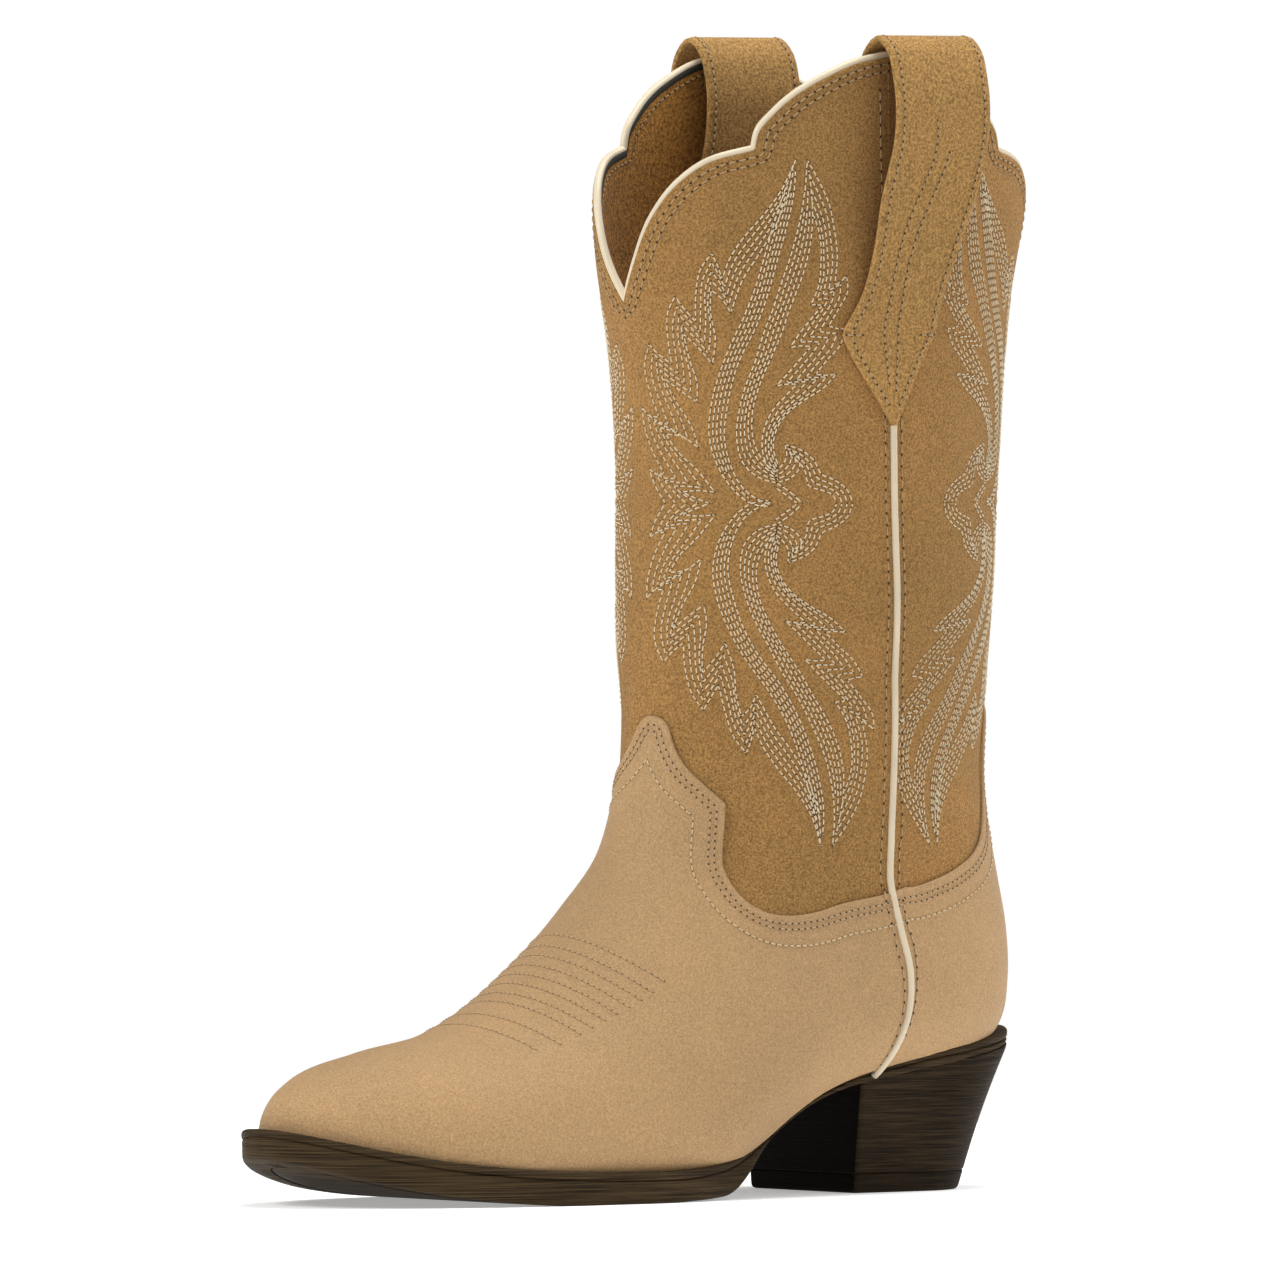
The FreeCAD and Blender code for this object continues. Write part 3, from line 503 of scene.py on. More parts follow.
def tube_piece(name, centres, normals, radius, look, closed=False, squash=1.0):
    sides = 12
    lattice = tube(centres, normals, radius, sides, squash)
    rows = len(lattice)
    faces = [list(f) for f in grid_faces(rows, sides, closed=True)]
    if closed:
        last = (rows - 1) * sides
        faces += [[last + i, last + (i + 1) % sides, (i + 1) % sides, i] for i in range(sides)]
    else:
        faces += [list(range(sides))[::-1], list(range((rows - 1) * sides, rows * sides))]
    return mesh_piece(name, world(lattice.reshape(-1, 3)), faces, look)


chance = np.random.default_rng(11)


# a stitch from end to end: how far along it, its width, and how far it stands proud
STITCH = np.array([(0.0, 0.45, -0.15), (0.3, 1.0, 0.35), (0.7, 1.0, 0.35), (1.0, 0.45, -0.15)])
STITCH_SIDES = 5
HOLE_SIDES = 6
HOLE_PROUD = 0.07


def round_of(count):
    """Cosines and sines of evenly spaced turns, as columns."""
    turn = np.linspace(0, 2 * np.pi, count, endpoint=False)[:, None]
    return np.cos(turn), np.sin(turn)


def stitched(name, lines, look, pitch, width=0.5, height=0.36, gap=0.9, body="boot",
             hole=0.5, loose=False, hole_shade_look=hole_shade):
    """Thread along lines of (points, outward directions): one low rounded bar per stitch, and at
    each of its ends a flat dark disc, painted shade inside the needle hole."""
    points, faces, holes, hole_faces = [], [], [], []
    cosine, sine = round_of(STITCH_SIDES)
    hole_cosine, hole_sine = round_of(HOLE_SIDES)
    share, wide, proud = STITCH.T
    size = len(STITCH) * STITCH_SIDES
    one = grid_faces(len(STITCH), STITCH_SIDES, closed=True)
    total, hole_total = 0, 0
    for line, normals in lines:
        run = run_along(line)
        count = max(1, int(round(run[-1] / pitch)))
        step = run[-1] / count
        late = chance.uniform(0.0, 0.9) if loose and count > 3 else 0.0
        starts = step * (np.arange(count + (late > 0)) - late)
        starts = starts[starts < run[-1] - 0.4 * step]
        count = len(starts)
        lengths = np.minimum(starts + step, run[-1]) - np.maximum(starts, 0)
        starts = np.maximum(starts, 0)
        places = starts[:, None] + gap / 2 + share * (lengths - gap)[:, None]
        centre = placed(places, run, line)
        out = unit(placed(places, run, normals))
        side = unit(np.cross(unit(centre[:, -1:, :] - centre[:, :1, :]), out))
        ring = (cosine * side[:, :, None, :] * width + sine * out[:, :, None, :] * height) / 2
        middle = centre + (proud * height)[:, None] * out
        points.append((middle[:, :, None, :] + wide[:, None, None] * ring).reshape(-1, 3))
        faces.append((one + size * np.arange(count)[:, None, None]).reshape(-1, 4) + total)
        total += size * count
        spots = np.r_[starts, run[-1]]
        centre, out = placed(spots, run, line), placed(spots, run, normals)
        along = unit(np.gradient(centre, axis=0))
        side = np.cross(along, out)
        ring = hole_cosine * along[:, None, :] + hole_sine * side[:, None, :] * 0.8
        # each hole is a flat dark disc just proud of the surface: painted shade
        holes.append(((centre + HOLE_PROUD * out)[:, None, :] + hole * ring).reshape(-1, 3))
        block = np.arange(HOLE_SIDES) + HOLE_SIDES * np.arange(len(spots))[:, None]
        hole_faces.append(block + hole_total)
        hole_total += HOLE_SIDES * len(spots)
    threads = mesh_piece(name, world(np.concatenate(points)), np.concatenate(faces).tolist(), look,
                         body)
    dots = mesh_piece(name + "_hole_shades", world(np.concatenate(holes)),
                      np.concatenate(hole_faces).tolist(), hole_shade_look, body, flat=True)
    return threads, dots


def on_skin(places, offset):
    """A line for stitched() from (angle, level) pairs."""
    return skin(places[:, 0], places[:, 1], offset)


# ---- the shaft and its top edge
def whole_ring(quarter):
    """A quarter's (angle, z) line, from the front to the outer side, carried right round."""
    back = quarter[::-1] * [-1, 1] + [180, 0]
    half = np.concatenate([quarter, back[1:]])
    other = half[::-1] * [-1, 1]
    return np.concatenate([other[:-1], half])


SCALLOP_LEVEL = 247


def side_run(pairs):
    """(angle, z) to (distance round, z), near the top of the shaft."""
    ring = run_along(form(ROUND_ANGLES, SCALLOP_LEVEL))
    return np.stack([np.interp(pairs[:, 0], ROUND_ANGLES, ring), pairs[:, 1]], -1), ring


def top_edge(inset, step=0.8):
    """The scalloped edge moved into the leather, all the way round, as (angle, z)."""
    runs = []
    for scallop in (LOW_SCALLOP, HIGH_SCALLOP):
        line, ring = side_run(trace(scallop, 80))
        along = unit(np.gradient(line, axis=0))
        runs.append(line + inset * np.stack([along[:, 1], -along[:, 0]], -1))
    low, high = runs
    # the two offset scallops cross or part at the notch between them, and the low one at the front
    low = low[low[:, 0] >= 0]
    corner = (low[-1:] + high[:1]) / 2 - [0, 0.25 * inset]
    high = high[high[:, 0] <= ring[90]]
    if inset > 0:
        low = np.concatenate([[[0.0, low[0, 1] - 0.6 * low[0, 0]]], low])
        high = np.concatenate([high, [[ring[90], HIGH_SCALLOP[-1][1] - inset]]])
    quarter = even(np.concatenate([low, corner[:int(inset > 0)], high]), step)
    return np.stack([np.interp(quarter[:, 0], ring, ROUND_ANGLES), quarter[:, 1]], -1)


# how far below the scalloped line the leather ends, and how far out of the form it, the sewing on
# it, the face of the lining and the foot leather lie
EDGE_DROP = 1.5
SHAFT_OUT = 0.12
ON_SHAFT = 0.16
LINING_FACE = -2.55
FOOT_FACE = 1.45
ON_FOOT = 1.5
rim = whole_ring(top_edge(0.0, 0.9))[:-1]


def shaft_bottom(angle):
    """The level where the shaft leather ends, hidden under the foot leather."""
    return 46 + 14 * np.clip((np.abs(angle) - 60) / 30, 0, 1)


def shaft_lattice(offset, rows=120):
    """Rows of the shaft from its top edge down, offset from the form."""
    top_level = rim[:, 1] - EDGE_DROP - LEG_START_Z
    foot_angle = np.linspace(-180, 180, len(rim), endpoint=False)
    share = np.linspace(0, 1, rows)[:, None] ** 1.25
    angle = rim[:, 0] + (foot_angle - rim[:, 0]) * eased(share)
    level = top_level + (shaft_bottom(foot_angle) - top_level) * share
    return skin(angle, level, offset)[0]


def rim_row(lift, offset):
    """The whole top edge, lifted along the form and offset from it."""
    return skin(rim[:, 0], rim[:, 1] + lift - LEG_START_Z, offset)[0]


def split_by_seam(names, nodes, lattice, faces, look):
    """Two pieces of one lattice, in front of the side seams and behind them."""
    points = lattice.reshape(-1, 3)
    middles = points[faces].mean(axis=1)
    front = middles[:, 1] < seam_y(middles[:, 2])
    for name, node, chosen in zip(names, nodes, (faces[front], faces[~front])):
        used, index = np.unique(chosen, return_inverse=True)
        chosen = index.reshape(chosen.shape).tolist()
        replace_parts(mesh_piece(name, world(points[used]), chosen, look), node)


edge_rows = [rim_row(lift - EDGE_DROP, offset)
             for offset, lift in ((-1.4, -0.1), (-1.1, 0.25), (-0.6, 0.35), (-0.1, 0.2))]
lattice = np.concatenate([np.stack(edge_rows), shaft_lattice(SHAFT_OUT)])
faces = grid_faces(len(lattice), len(rim), closed=True)
split_by_seam(("shaft_panel_front", "shaft_panel_back"), ("shaft_front", "shaft_back"), lattice,
              faces, shaft_suede)

inner = shaft_lattice(LINING_FACE, 70)
faces = grid_faces(len(inner), len(rim), closed=True)[:, ::-1]
split_by_seam(("shaft_lining_near_toe", "shaft_lining_near_heel"),
              ("shaft_lining_front", "shaft_lining_back"), inner, faces, lining_suede)

tape = np.stack([rim_row(-drop, offset) for drop, offset in
                 ((0.6, -1.9), (0.7, -2.5), (1.2, -2.75), (2.9, -2.75), (3.1, -2.5))])
mesh_piece("lining_edge", world(tape.reshape(-1, 3)),
           grid_faces(len(tape), len(rim), closed=True)[:, ::-1].tolist(), edge_tape)

# the bead between leather and lining, along the whole top edge
bead_line = np.concatenate([rim, rim[:1]])
centres, normals = skin(bead_line[:, 0], bead_line[:, 1] - 0.75 - LEG_START_Z, -1.35)
bead = tube_piece("top_piping", centres[:-1], normals[:-1], 1.25, piping_leather,
                  closed=True)
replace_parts(bead, "top_binding_front", "top_binding_back")


def top_row(inset, offset):
    """A line for stitched() that runs round below the top edge."""
    return on_skin(whole_ring(top_edge(inset)) - [0, LEG_START_Z], offset)


stitched("top_edge_stitching", [top_row(inset, ON_SHAFT) for inset in (3.3, 5.5)], tan_thread,
         3.2)
points, normals = top_row(4.6, LINING_FACE - 0.07)
stitched("lining_edge_stitching", [(points, -normals)], tan_thread, 2.6, 0.55,
         0.4, 0.7, hole=0.45)


# ---- vamp and heel cover
def seam_at(levels):
    """Angles of the side seam at some levels."""
    found = []
    angles = np.arange(40, 170, 0.5)
    for level in levels:
        points = form(angles, level)
        beyond = points[:, 1] - seam_y(points[:, 2])
        found.append(np.interp(0.0, beyond, angles))
    return np.array(found)


def foot_top(step=0.9):
    """The top line of the foot leather all round, as (angle, level), corners kept."""
    side = at_side(*np.array(FOOT_LINE).T)
    side[:, 0] = np.maximum.accumulate(side[:, 0])
    tongue_side = np.concatenate([TONGUE_SIDE, side[:1]])
    tab = np.concatenate([side[-1:], TAB_SIDE])
    other = side[::-1] * [-1, 1]
    inner_tongue = np.concatenate([other[-1:], TONGUE_INNER[::-1]])
    runs = [tab[::-1] * [-1, 1], other, inner_tongue, TONGUE_TOP[::-1], tongue_side, side, tab]
    line = []
    for run in runs:
        fine = trace(run, 60)
        length = run_along(form(*fine.T))
        count = max(4, int(length[-1] / step))
        line.append(placed(np.linspace(0, length[-1], count)[:-1], length, fine))
    return np.concatenate(line)


def foot_row(lift, offset):
    """The whole top line of the foot leather, lifted along the form and offset from it."""
    return skin(foot_rim[:, 0], foot_rim[:, 1] + lift, offset)[0]


foot_rim = foot_top()
rim_angle, rim_level = foot_rim.T
fall = 1 - (1 - np.linspace(0, 1, 150)[:, None]) ** 1.6
low_angle = np.linspace(-180, 180, len(foot_rim), endpoint=False)
angle = rim_angle + (low_angle - rim_angle) * eased(fall * 1.5)
level = rim_level + (TOE_LEVEL - rim_level) * fall
main, _ = skin(angle, level, FOOT_FACE)
main[0] = foot_row(-0.45, FOOT_FACE)
edge_rows = [foot_row(lift, offset)
             for offset, lift in ((0.0, -0.15), (0.5, 0.1), (1.0, 0.1), (1.35, -0.15))]
tip = main[-1].mean(axis=0) - [0, 0.5, 0]
cap = [main[-1] + share * (tip - main[-1]) for share in (0.5, 0.98)]
lattice = np.concatenate([np.stack(edge_rows), main, np.stack(cap)])
floor_z = sole_top(lattice[..., 1]) - 1.2
under = lattice[..., 2] < floor_z
lattice[..., 2] = np.maximum(lattice[..., 2], floor_z)
faces = grid_faces(len(lattice), len(foot_rim), closed=True)
faces = faces[~under.reshape(-1)[faces].all(axis=1)]
split_by_seam(("vamp_leather", "heel_cover_leather"), ("vamp", "heel_cover"), lattice, faces,
              foot_suede)


def along_foot_edge(inset, step=0.8):
    """A line of (angle, level) that keeps inset from the foot leather's top line."""
    space, normal = skin(*foot_rim.T)
    along = unit(np.roll(space, -1, axis=0) - np.roll(space, 1, axis=0))
    inward = np.cross(along, normal)
    if inward[len(inward) // 4, 2] > 0:
        inward = -inward
    target = space + inset * inward
    places = foot_rim.copy()
    for _ in range(6):
        here = form(*places.T)
        by_angle = (form(*(places + [0.5, 0]).T) - here) / 0.5
        by_level = (form(*(places + [0, 0.5]).T) - here) / 0.5
        miss = target - here
        a, b, c = (by_angle**2).sum(1), (by_angle * by_level).sum(1), (by_level**2).sum(1)
        p, q = (miss * by_angle).sum(1), (miss * by_level).sum(1)
        scale = a * c - b * b
        places = places + np.stack([(p * c - q * b) / scale, (q * a - p * b) / scale], -1)
    # points that end nearer the edge than the inset belong to corners that the line cuts off
    gap = np.linalg.norm(form(*places.T)[:, None] - space[None], axis=2).min(axis=1)
    kept = places[gap > inset * 0.93]
    loop = np.concatenate([kept, kept[:1] + [360, 0]])
    length = run_along(form(*loop.T))
    return placed(np.linspace(0, length[-1], int(length[-1] / step)), length, loop)


rows = [on_skin(along_foot_edge(inset), ON_FOOT) for inset in (2.6, 4.4)]
stitched("foot_edge_stitching", rows, foot_thread, 2.3, gap=0.6, hole=0.38)
stitched("foot_third_row", [on_skin(along_foot_edge(9.6), ON_FOOT)], pale_thread, 2.3,
         height=0.4, gap=0.5, hole=0.32, hole_shade_look=foot_hole_shade)

# rows of stitching across the flex of the vamp
rows = []
for level_at, half_angle in ((27.8, 48.5), (24.6, 48.5), (21.9, 48), (19.2, 47.5), (16.6, 47),
                             (14.0, 46.5), (11.3, 46), (8.8, 45.5), (4.6, 45), (0.8, 42)):
    angles = np.linspace(-half_angle, half_angle, 90)
    bowed = level_at + 4.2 * (angles / 48) ** 2
    rows.append(on_skin(np.stack([angles, bowed], -1), ON_FOOT - 0.02))
stitched("flex_stitching", rows, foot_thread, 2.2, gap=0.5, hole=0.34,
         hole_shade_look=foot_hole_shade)

# ---- side seams
PIPING_END_Z = 238.0
SEAM_GIRTH = 62.0
seam_levels = np.concatenate([np.arange(PIPING_END_Z - LEG_START_Z, 96, -1.5),
                              np.arange(95, 51, -0.5)])
seam_angles = seam_at(seam_levels)
keep = form(seam_angles, seam_levels)[:, 2] > sole_top(seam_y(40.0)) - 2
seam_levels, seam_angles = seam_levels[keep], seam_angles[keep]
line_level = float(at_side(66.0, 92.5)[1])
step_up = 0.5 + 0.5 * np.tanh((line_level - seam_levels) / 2.0)
for sign, name in ((1, "outer"), (-1, "inner")):
    centres, normals = skin(sign * seam_angles, seam_levels, 0.25 + 1.35 * step_up)
    cord = tube_piece("side_piping_bead_" + name, centres, normals, 1.15, piping_leather)
    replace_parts(cord, "side_piping_" + name)

high_levels = np.arange(285, PIPING_END_Z - LEG_START_Z - 4, -1.5)
high_angles = seam_at(high_levels)
rows, foot_rows = [], []
for sign in (1, -1):
    for gap in (-2.9, 2.9):
        leg = seam_levels > line_level
        shift = np.degrees(gap / SEAM_GIRTH)
        beside = np.stack([sign * (seam_angles + shift), seam_levels], -1)
        rows.append(on_skin(beside[leg], ON_SHAFT))
        foot_rows.append(on_skin(beside[~leg], ON_FOOT))
        higher = np.stack([sign * (high_angles + shift), high_levels], -1)
        rows.append(on_skin(higher[higher[:, 1] < 277], ON_SHAFT))
stitched("side_seam_stitching", rows, tan_thread, 3.6)
stitched("side_seam_foot_stitching", foot_rows, foot_thread, 3.6)

# the closed seam above the piping, behind the straps: the two leathers' edges side by side
for sign, name in ((1, "outer"), (-1, "inner")):
    centres, normals = skin(sign * high_angles, high_levels, -0.25)
    tube_piece("seam_fold_" + name, centres, normals, 0.8, shaft_suede, squash=0.6)

# ---- the stitched pattern of the shaft
# Bands of stitching on one quarter: pairs of runs, the band's two edges, as (distance round from
# the front, height).  The quarter is mirrored about MIRROR_Z, the side seam and the front.
MIRROR_Z = 212.5
LOWER_SHIFT = 5.0
SHORTEST_RUN = 1.2


def chained(pieces):
    """Pieces of a band, each given the last points of the one before it as its first."""
    whole = pieces[:1]
    for left, right in pieces[1:]:
        before = whole[-1]
        whole.append(([before[0][-1], *left], [before[1][-1], *right]))
    return whole


STRIPE_A = [([(60.6, 317.8), (54.5, 302), (50.4, 291), (46, 280.5), (39.5, 268.8), (34.6, 261),
    (30.7, 253.2), (27.2, 244), (25.6, 232), (27.4, 225), (32.0, 217.4), (38.6, 212.2),
    (43.6, 211.6)], [(60.6, 317.8), (59.9, 308), (57, 297), (53.6, 288), (48, 275.5), (43, 266.3),
    (38, 258.6), (34.6, 251.6), (31.8, 242.5), (30.2, 232), (31.5, 225), (35.2, 217.6),
    (39.8, 213.8), (44.2, 212.0)])]
STRIPE_B = [([(64.4, 317.5), (63.5, 308), (61.1, 297.5), (57.3, 287.5), (53.7, 280.5),
    (49.1, 271.5), (44.8, 263.8), (41.6, 256), (38.1, 249), (35.6, 242), (34, 232), (35.5, 225),
    (40.3, 220.4), (45.8, 218.8)], [(64.4, 317.5), (65.6, 308), (65.8, 300), (64.5, 292),
    (61.5, 284), (58, 277.7), (54, 271), (50.6, 264.2), (46.3, 256.8), (42.6, 249.8), (39.2, 240),
    (39.2, 231), (41.6, 225.8), (45.4, 222)])]
FEATHERS_LEFT = chained([([(60.6, 317.8), (56.1, 308.8), (50.3, 301.2), (43, 293.5), (38.3, 287.2),
    (35.3, 281.2)], [(60.6, 317.8), (57.5, 306), (53, 296.5), (47, 288), (41.5, 281), (36.2, 271)]),
    ([(34.4, 285), (33.1, 289)], [(34, 275.3), (31.3, 277.8)]), ([(29, 284), (26.6, 277),
    (24.9, 268.2)], [(30, 271), (30.2, 263), (28.4, 255.2)]), ([(22.5, 271.5), (19.8, 275.8)],
    [(24.6, 260.2), (20.4, 264.5)]), ([(16.6, 271), (15.2, 263), (15.4, 255.2)], [(21.5, 256),
    (23, 249), (22.4, 243.6)]), ([(11.7, 257.8), (8.1, 261.2)], [(17, 247.3), (12, 251)]),
    ([(5.4, 254.5), (6.2, 247.5), (9, 239)], [(15.4, 244), (20, 236.2), (22, 229.6)]),
    ([(5.5, 239.2), (2.5, 241.8)], [(16.7, 233), (11.2, 233.7)]), ([(2.9, 236.2), (5, 230),
    (10, 221.5)], [(15, 228.5), (21, 223), (26.9, 216)]), ([(7.4, 221.4), (4.1, 223)],
    [(21.5, 216.4), (16.3, 216)]), ([(6.5, 218), (10.5, 212.5)], [(20.0, 214.4), (25.2, 212.5)])])
FEATHERS_RIGHT = chained([([(64.4, 317.5), (68.4, 310.8), (71.7, 303.8), (72.9, 296.8), (73.3, 289),
    (70.9, 279.2)], [(66, 301), (67.6, 296), (68, 291), (67.3, 286), (65.8, 280), (61.7, 273.2)]),
    ([(73.2, 280.4), (75.4, 282)], [(63.5, 273.3), (65.4, 273)]), ([(75.1, 277.8), (71.2, 272.6),
    (66.3, 266.8)], [(61, 269), (56.5, 264.5), (52.8, 260.2)]), ([(69, 266), (71.9, 265.8)],
    [(56, 260.7), (59.5, 260.5)]), ([(69.3, 261), (64.5, 256.6), (60, 252)], [(55, 256), (51, 252),
    (47.3, 248.5)]), ([(63.2, 251.7), (66.7, 252)], [(50.4, 249), (53.7, 249)]), ([(62.6, 248.2),
    (55.8, 244.2), (50.2, 240.3), (46.6, 235.8), (45, 230), (46.3, 224)], [(49.5, 245),
    (45.2, 240.5), (42.6, 235.5), (41.6, 230.5), (42.3, 225.7), (44.9, 221.2)])])
HOOK = [([(44.6, 221.6), (47, 223.6), (49, 226.8), (48.7, 230.6)], [(46.2, 218.9), (50.2, 220.4),
    (53, 223.6), (52.6, 227.6)]), ([(48.7, 230.6), (54, 228.6), (57.6, 225.6), (59.8, 221.6),
    (64.4, 219.5), (68.6, 216.3), (70.3, 212.5)], [(50, 227), (52.6, 225.2), (54.6, 222.6),
    (55.8, 218), (60.5, 216.4), (63.8, 214.8), (64.9, 212.5)])]
LINK = [([(45.8, 218.8), (49.9, 216), (53.9, 212.5)], [(45.2, 217.6), (48.9, 215), (52.3, 212.5)])]
BANDS = ((STRIPE_A, 5), (STRIPE_B, 5), (FEATHERS_LEFT, 5), (FEATHERS_RIGHT, 5), (HOOK, 4),
         (LINK, 2))


def band_rows(band, count):
    """Lines side by side from one edge of a band to the other, fewer where it is narrow."""
    rows = []
    for index, share in enumerate(np.linspace(0, 1, count)):
        edge = 0.0 if index == 0 else 0.5
        wide_enough = (edge, 3.0 if count == 5 else 2.4, 1.9)[min(index, count - 1 - index)]
        for left, right in band:
            a, b = trace(left, 36), trace(right, 36)
            run = a + share * (b - a)
            kept = np.flatnonzero(np.linalg.norm(b - a, axis=1) >= wide_enough)
            if len(kept) < 3:
                continue
            for part in np.split(kept, np.flatnonzero(np.diff(kept) > 1) + 1):
                if len(part) > 2:
                    rows.append(run[part])
    return rows


def quarter_lines(lower, back):
    """Every run of the pattern on a quarter, its upper or lower half, as (angle, level) lines."""
    lines = []
    for band, count in BANDS:
        for run in band_rows(band, count):
            if run_along(run)[-1] < SHORTEST_RUN:
                continue
            distance, z = run.T
            if lower:
                z = 2 * MIRROR_Z - z
                distance = distance + LOWER_SHIFT * (MIRROR_Z - z) / 105
            lines.append(at_girth(distance, z, back))
    return lines


for name, sign, back in (("front_outer", 1, False), ("front_inner", -1, False),
                         ("back_outer", 1, True), ("back_inner", -1, True)):
    lines = [on_skin(line * [sign, 1], SHAFT_OUT + 0.02)
             for lower in (False, True) for line in quarter_lines(lower, back)]
    stitched("embroidery_" + name, lines, cream_thread, 2.3, 0.44, 0.42, 0.42,
             hole=0.3, loose=True)


# ---- pull straps
strap_middle = graph(STRAP_MIDDLE)
strap_half = graph(STRAP_HALF)


def form_x(y, z):
    """How far out the outer side's surface is at (y, z)."""
    places = at_side(y, z)
    return form(places[..., 0], places[..., 1])[..., 0]


def strap_stations(lean):
    """Rows along the strap, from its tip over the top edge to its inside end: the path as (x, z)
    with no x where it lies on the boot, which rows are outside, the middle's y, and half widths."""
    tip = [(0.0, z) for z in np.linspace(STRAP_TIP_Z, STRAP_CORNER_Z - 1, 14)]
    loop = trace(LOOP_PATH, 64)
    inside = [(0.0, z) for z in np.linspace(STRAP_END_HIGH, STRAP_END_LOW, 12)]
    path = np.concatenate([tip, loop, inside])
    outside = np.arange(len(path)) < len(tip) + len(loop) // 2
    z = path[:, 1]
    centre = STRAP_FOOT_Y + lean * STRAP_LEAN_Y * strap_middle(z)
    taper = np.clip((z - STRAP_TIP_Z) / (STRAP_CORNER_Z - STRAP_TIP_Z), 0, 1)
    half = np.where(outside & (z < STRAP_CORNER_Z), STRAP_HALF[0][1] * taper + 0.6, strap_half(z))
    return path, outside, centre, half


def strap_point(share, stations):
    """Points of the strap's middle layer at a share of its half width."""
    (path_x, z), outside, centre, half = stations[0].T, *stations[1:]
    y = centre + share * half
    surface = form_x(y, z)

    def lying(gap, ease):
        """On the boot with a gap low down, and on the path higher up."""
        close = surface + gap
        return close + (np.where(path_x > 0, path_x, close) - close) * ease

    x = np.where(outside, lying(STRAP_OUT, eased((z - 258) / 34)),
                 lying(STRAP_IN, np.clip((z - 280) / 40, 0, 1)))
    return np.stack([x, y, z], -1)


def make_strap(name, sign, lean):
    """One strap with its sewing, from its sewn ends to its free loop."""
    stations = strap_stations(lean)
    path, outside, _, half = stations
    z = path[:, 1]
    shares = np.r_[-1, -0.985, np.linspace(-0.94, 0.94, 21), 0.985, 1]
    swell = np.r_[0.0, 0.72, np.full(21, 1.0), 0.72, 0.0]
    base = np.stack([strap_point(share, stations) for share in shares], axis=1)
    out = unit(np.cross(np.gradient(base, axis=1), np.gradient(base, axis=0)))
    if out[5, 12, 0] < 0:
        out = -out
    thick = STRAP_THICK / 2 * swell[None, :, None]
    ring = np.concatenate([base + out * thick, (base - out * thick)[:, -2:0:-1]], axis=1)
    ring[..., 0] *= sign
    rows, columns = ring.shape[:2]
    faces = grid_faces(rows, columns, closed=True)
    if sign > 0:
        faces = faces[:, ::-1]
    last = (rows - 1) * columns
    faces = faces.tolist() + [list(range(columns)), list(range(last, last + columns))]
    piece = mesh_piece("pull_strap_" + name, world(ring.reshape(-1, 3)), faces, strap_suede,
                       body=None)
    nodes = ["pull_strap_%s_%s" % (name, part) for part in ("outside_end", "loop", "inside_end")]
    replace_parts(piece, *nodes)

    def laid(share):
        """A stitch line at a share of the half width, one value per station."""
        base = strap_point(share, stations)
        sideways = strap_point(share + 0.02, stations) - base
        up = unit(np.cross(sideways, np.gradient(base, axis=0)))
        if up[5, 0] < 0:
            up = -up
        return (base + up * (STRAP_THICK / 2 + 0.02)) * [sign, 1, 1], up * [sign, 1, 1]

    def sewn(share, chosen):
        points, up = laid(share)
        return points[chosen], up[chosen]

    edge = 1 - 2.6 / np.maximum(half, 3.0)
    rows = [sewn(side * edge, (z > STRAP_TIP_Z + 6) | ~outside) for side in (-1, 1)]
    wave = 0.16 * np.sin((z - 236) / 11.0)
    rows += [sewn(share + wave, outside & (z > low) & (z < high))
             for share, low, high in ((-0.28, 248, 332), (0.02, 246, 322))]
    corner = np.argmin(np.where(outside, np.abs(z - STRAP_CORNER_Z), np.inf))
    for side in (-1, 1):
        bar = [sewn(np.full(len(z), side * (0.62 + 0.08 * k)), corner) for k in range(5)]
        rows.append(tuple(np.array(part) for part in zip(*bar)))
    threads = stitched("pull_strap_%s_stitching" % name, rows, tan_thread, 2.5, 0.6,
                       0.45, 0.7, body=None, hole=0.45)
    (x, y), low, high = STRAP_BEND
    start, end = (x * sign, y, low), (x * sign, y, high)
    for made in (piece, *threads):
        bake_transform(made)
        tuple(start)
        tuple(end)


make_strap("outer", 1, 1.0)
make_strap("inner", -1, 0.55)


# ---- sole, welt and heel
def sole_ring(inset, count=150):
    """(x, y) of the sole's edge moved inward: the outer side to the heel, the inner one back."""
    outer = trace(OUTER_EDGE, count)
    inner = trace(INNER_EDGE, count)[::-1]
    ring = np.concatenate([outer, inner[1:-1]])
    along = unit(np.roll(ring, -1, axis=0) - np.roll(ring, 1, axis=0))
    return np.stack([ring[:, 1] - inset * along[:, 0], ring[:, 0] + inset * along[:, 1]], -1)


SLAB_POINTS_ACROSS = 12


def slab_piece(name, profile, node):
    """A solid with the sole's outline: profile gives (inset, height above) pairs from inside the
    top, round the edge, to inside the bottom, where height is a function of y."""
    rings = [sole_ring(inset) for inset, _ in profile]
    lattice = np.stack([np.column_stack([ring, height(ring[:, 1])])
                        for ring, (_, height) in zip(rings, profile)])
    count = lattice.shape[1]
    faces = grid_faces(len(lattice), count, closed=True).tolist()
    points = list(lattice.reshape(-1, 3))
    # the top and the bottom are strips across, from the toe to the heel
    for layer in (0, len(profile) - 1):
        height = profile[layer][1]
        base = layer * count
        previous = None
        for i in range(count // 2 + 1):
            left, right = base + i, base + (count - i) % count
            row = [left]
            if left != right:
                inner = np.linspace(points[left], points[right], SLAB_POINTS_ACROSS + 2)[1:-1]
                inner[:, 2] = height(inner[:, 1])
                row += [*range(len(points), len(points) + len(inner)), right]
                points += list(inner)
            if previous:
                longer = max(len(previous), len(row))
                p = previous * longer if len(previous) == 1 else previous
                q = row * longer if len(row) == 1 else row
                for k in range(longer - 1):
                    quad = [p[k], p[k + 1], q[k + 1], q[k]]
                    quad = [v for n, v in enumerate(quad) if v not in quad[:n]]
                    faces.append(quad if layer else quad[::-1])
            previous = row
    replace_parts(mesh_piece(name, world(points), faces, sole_grain), node)


def over(rise):
    return lambda y: sole_top(y) + rise


def beneath(rise):
    return lambda y: underside(y) + rise


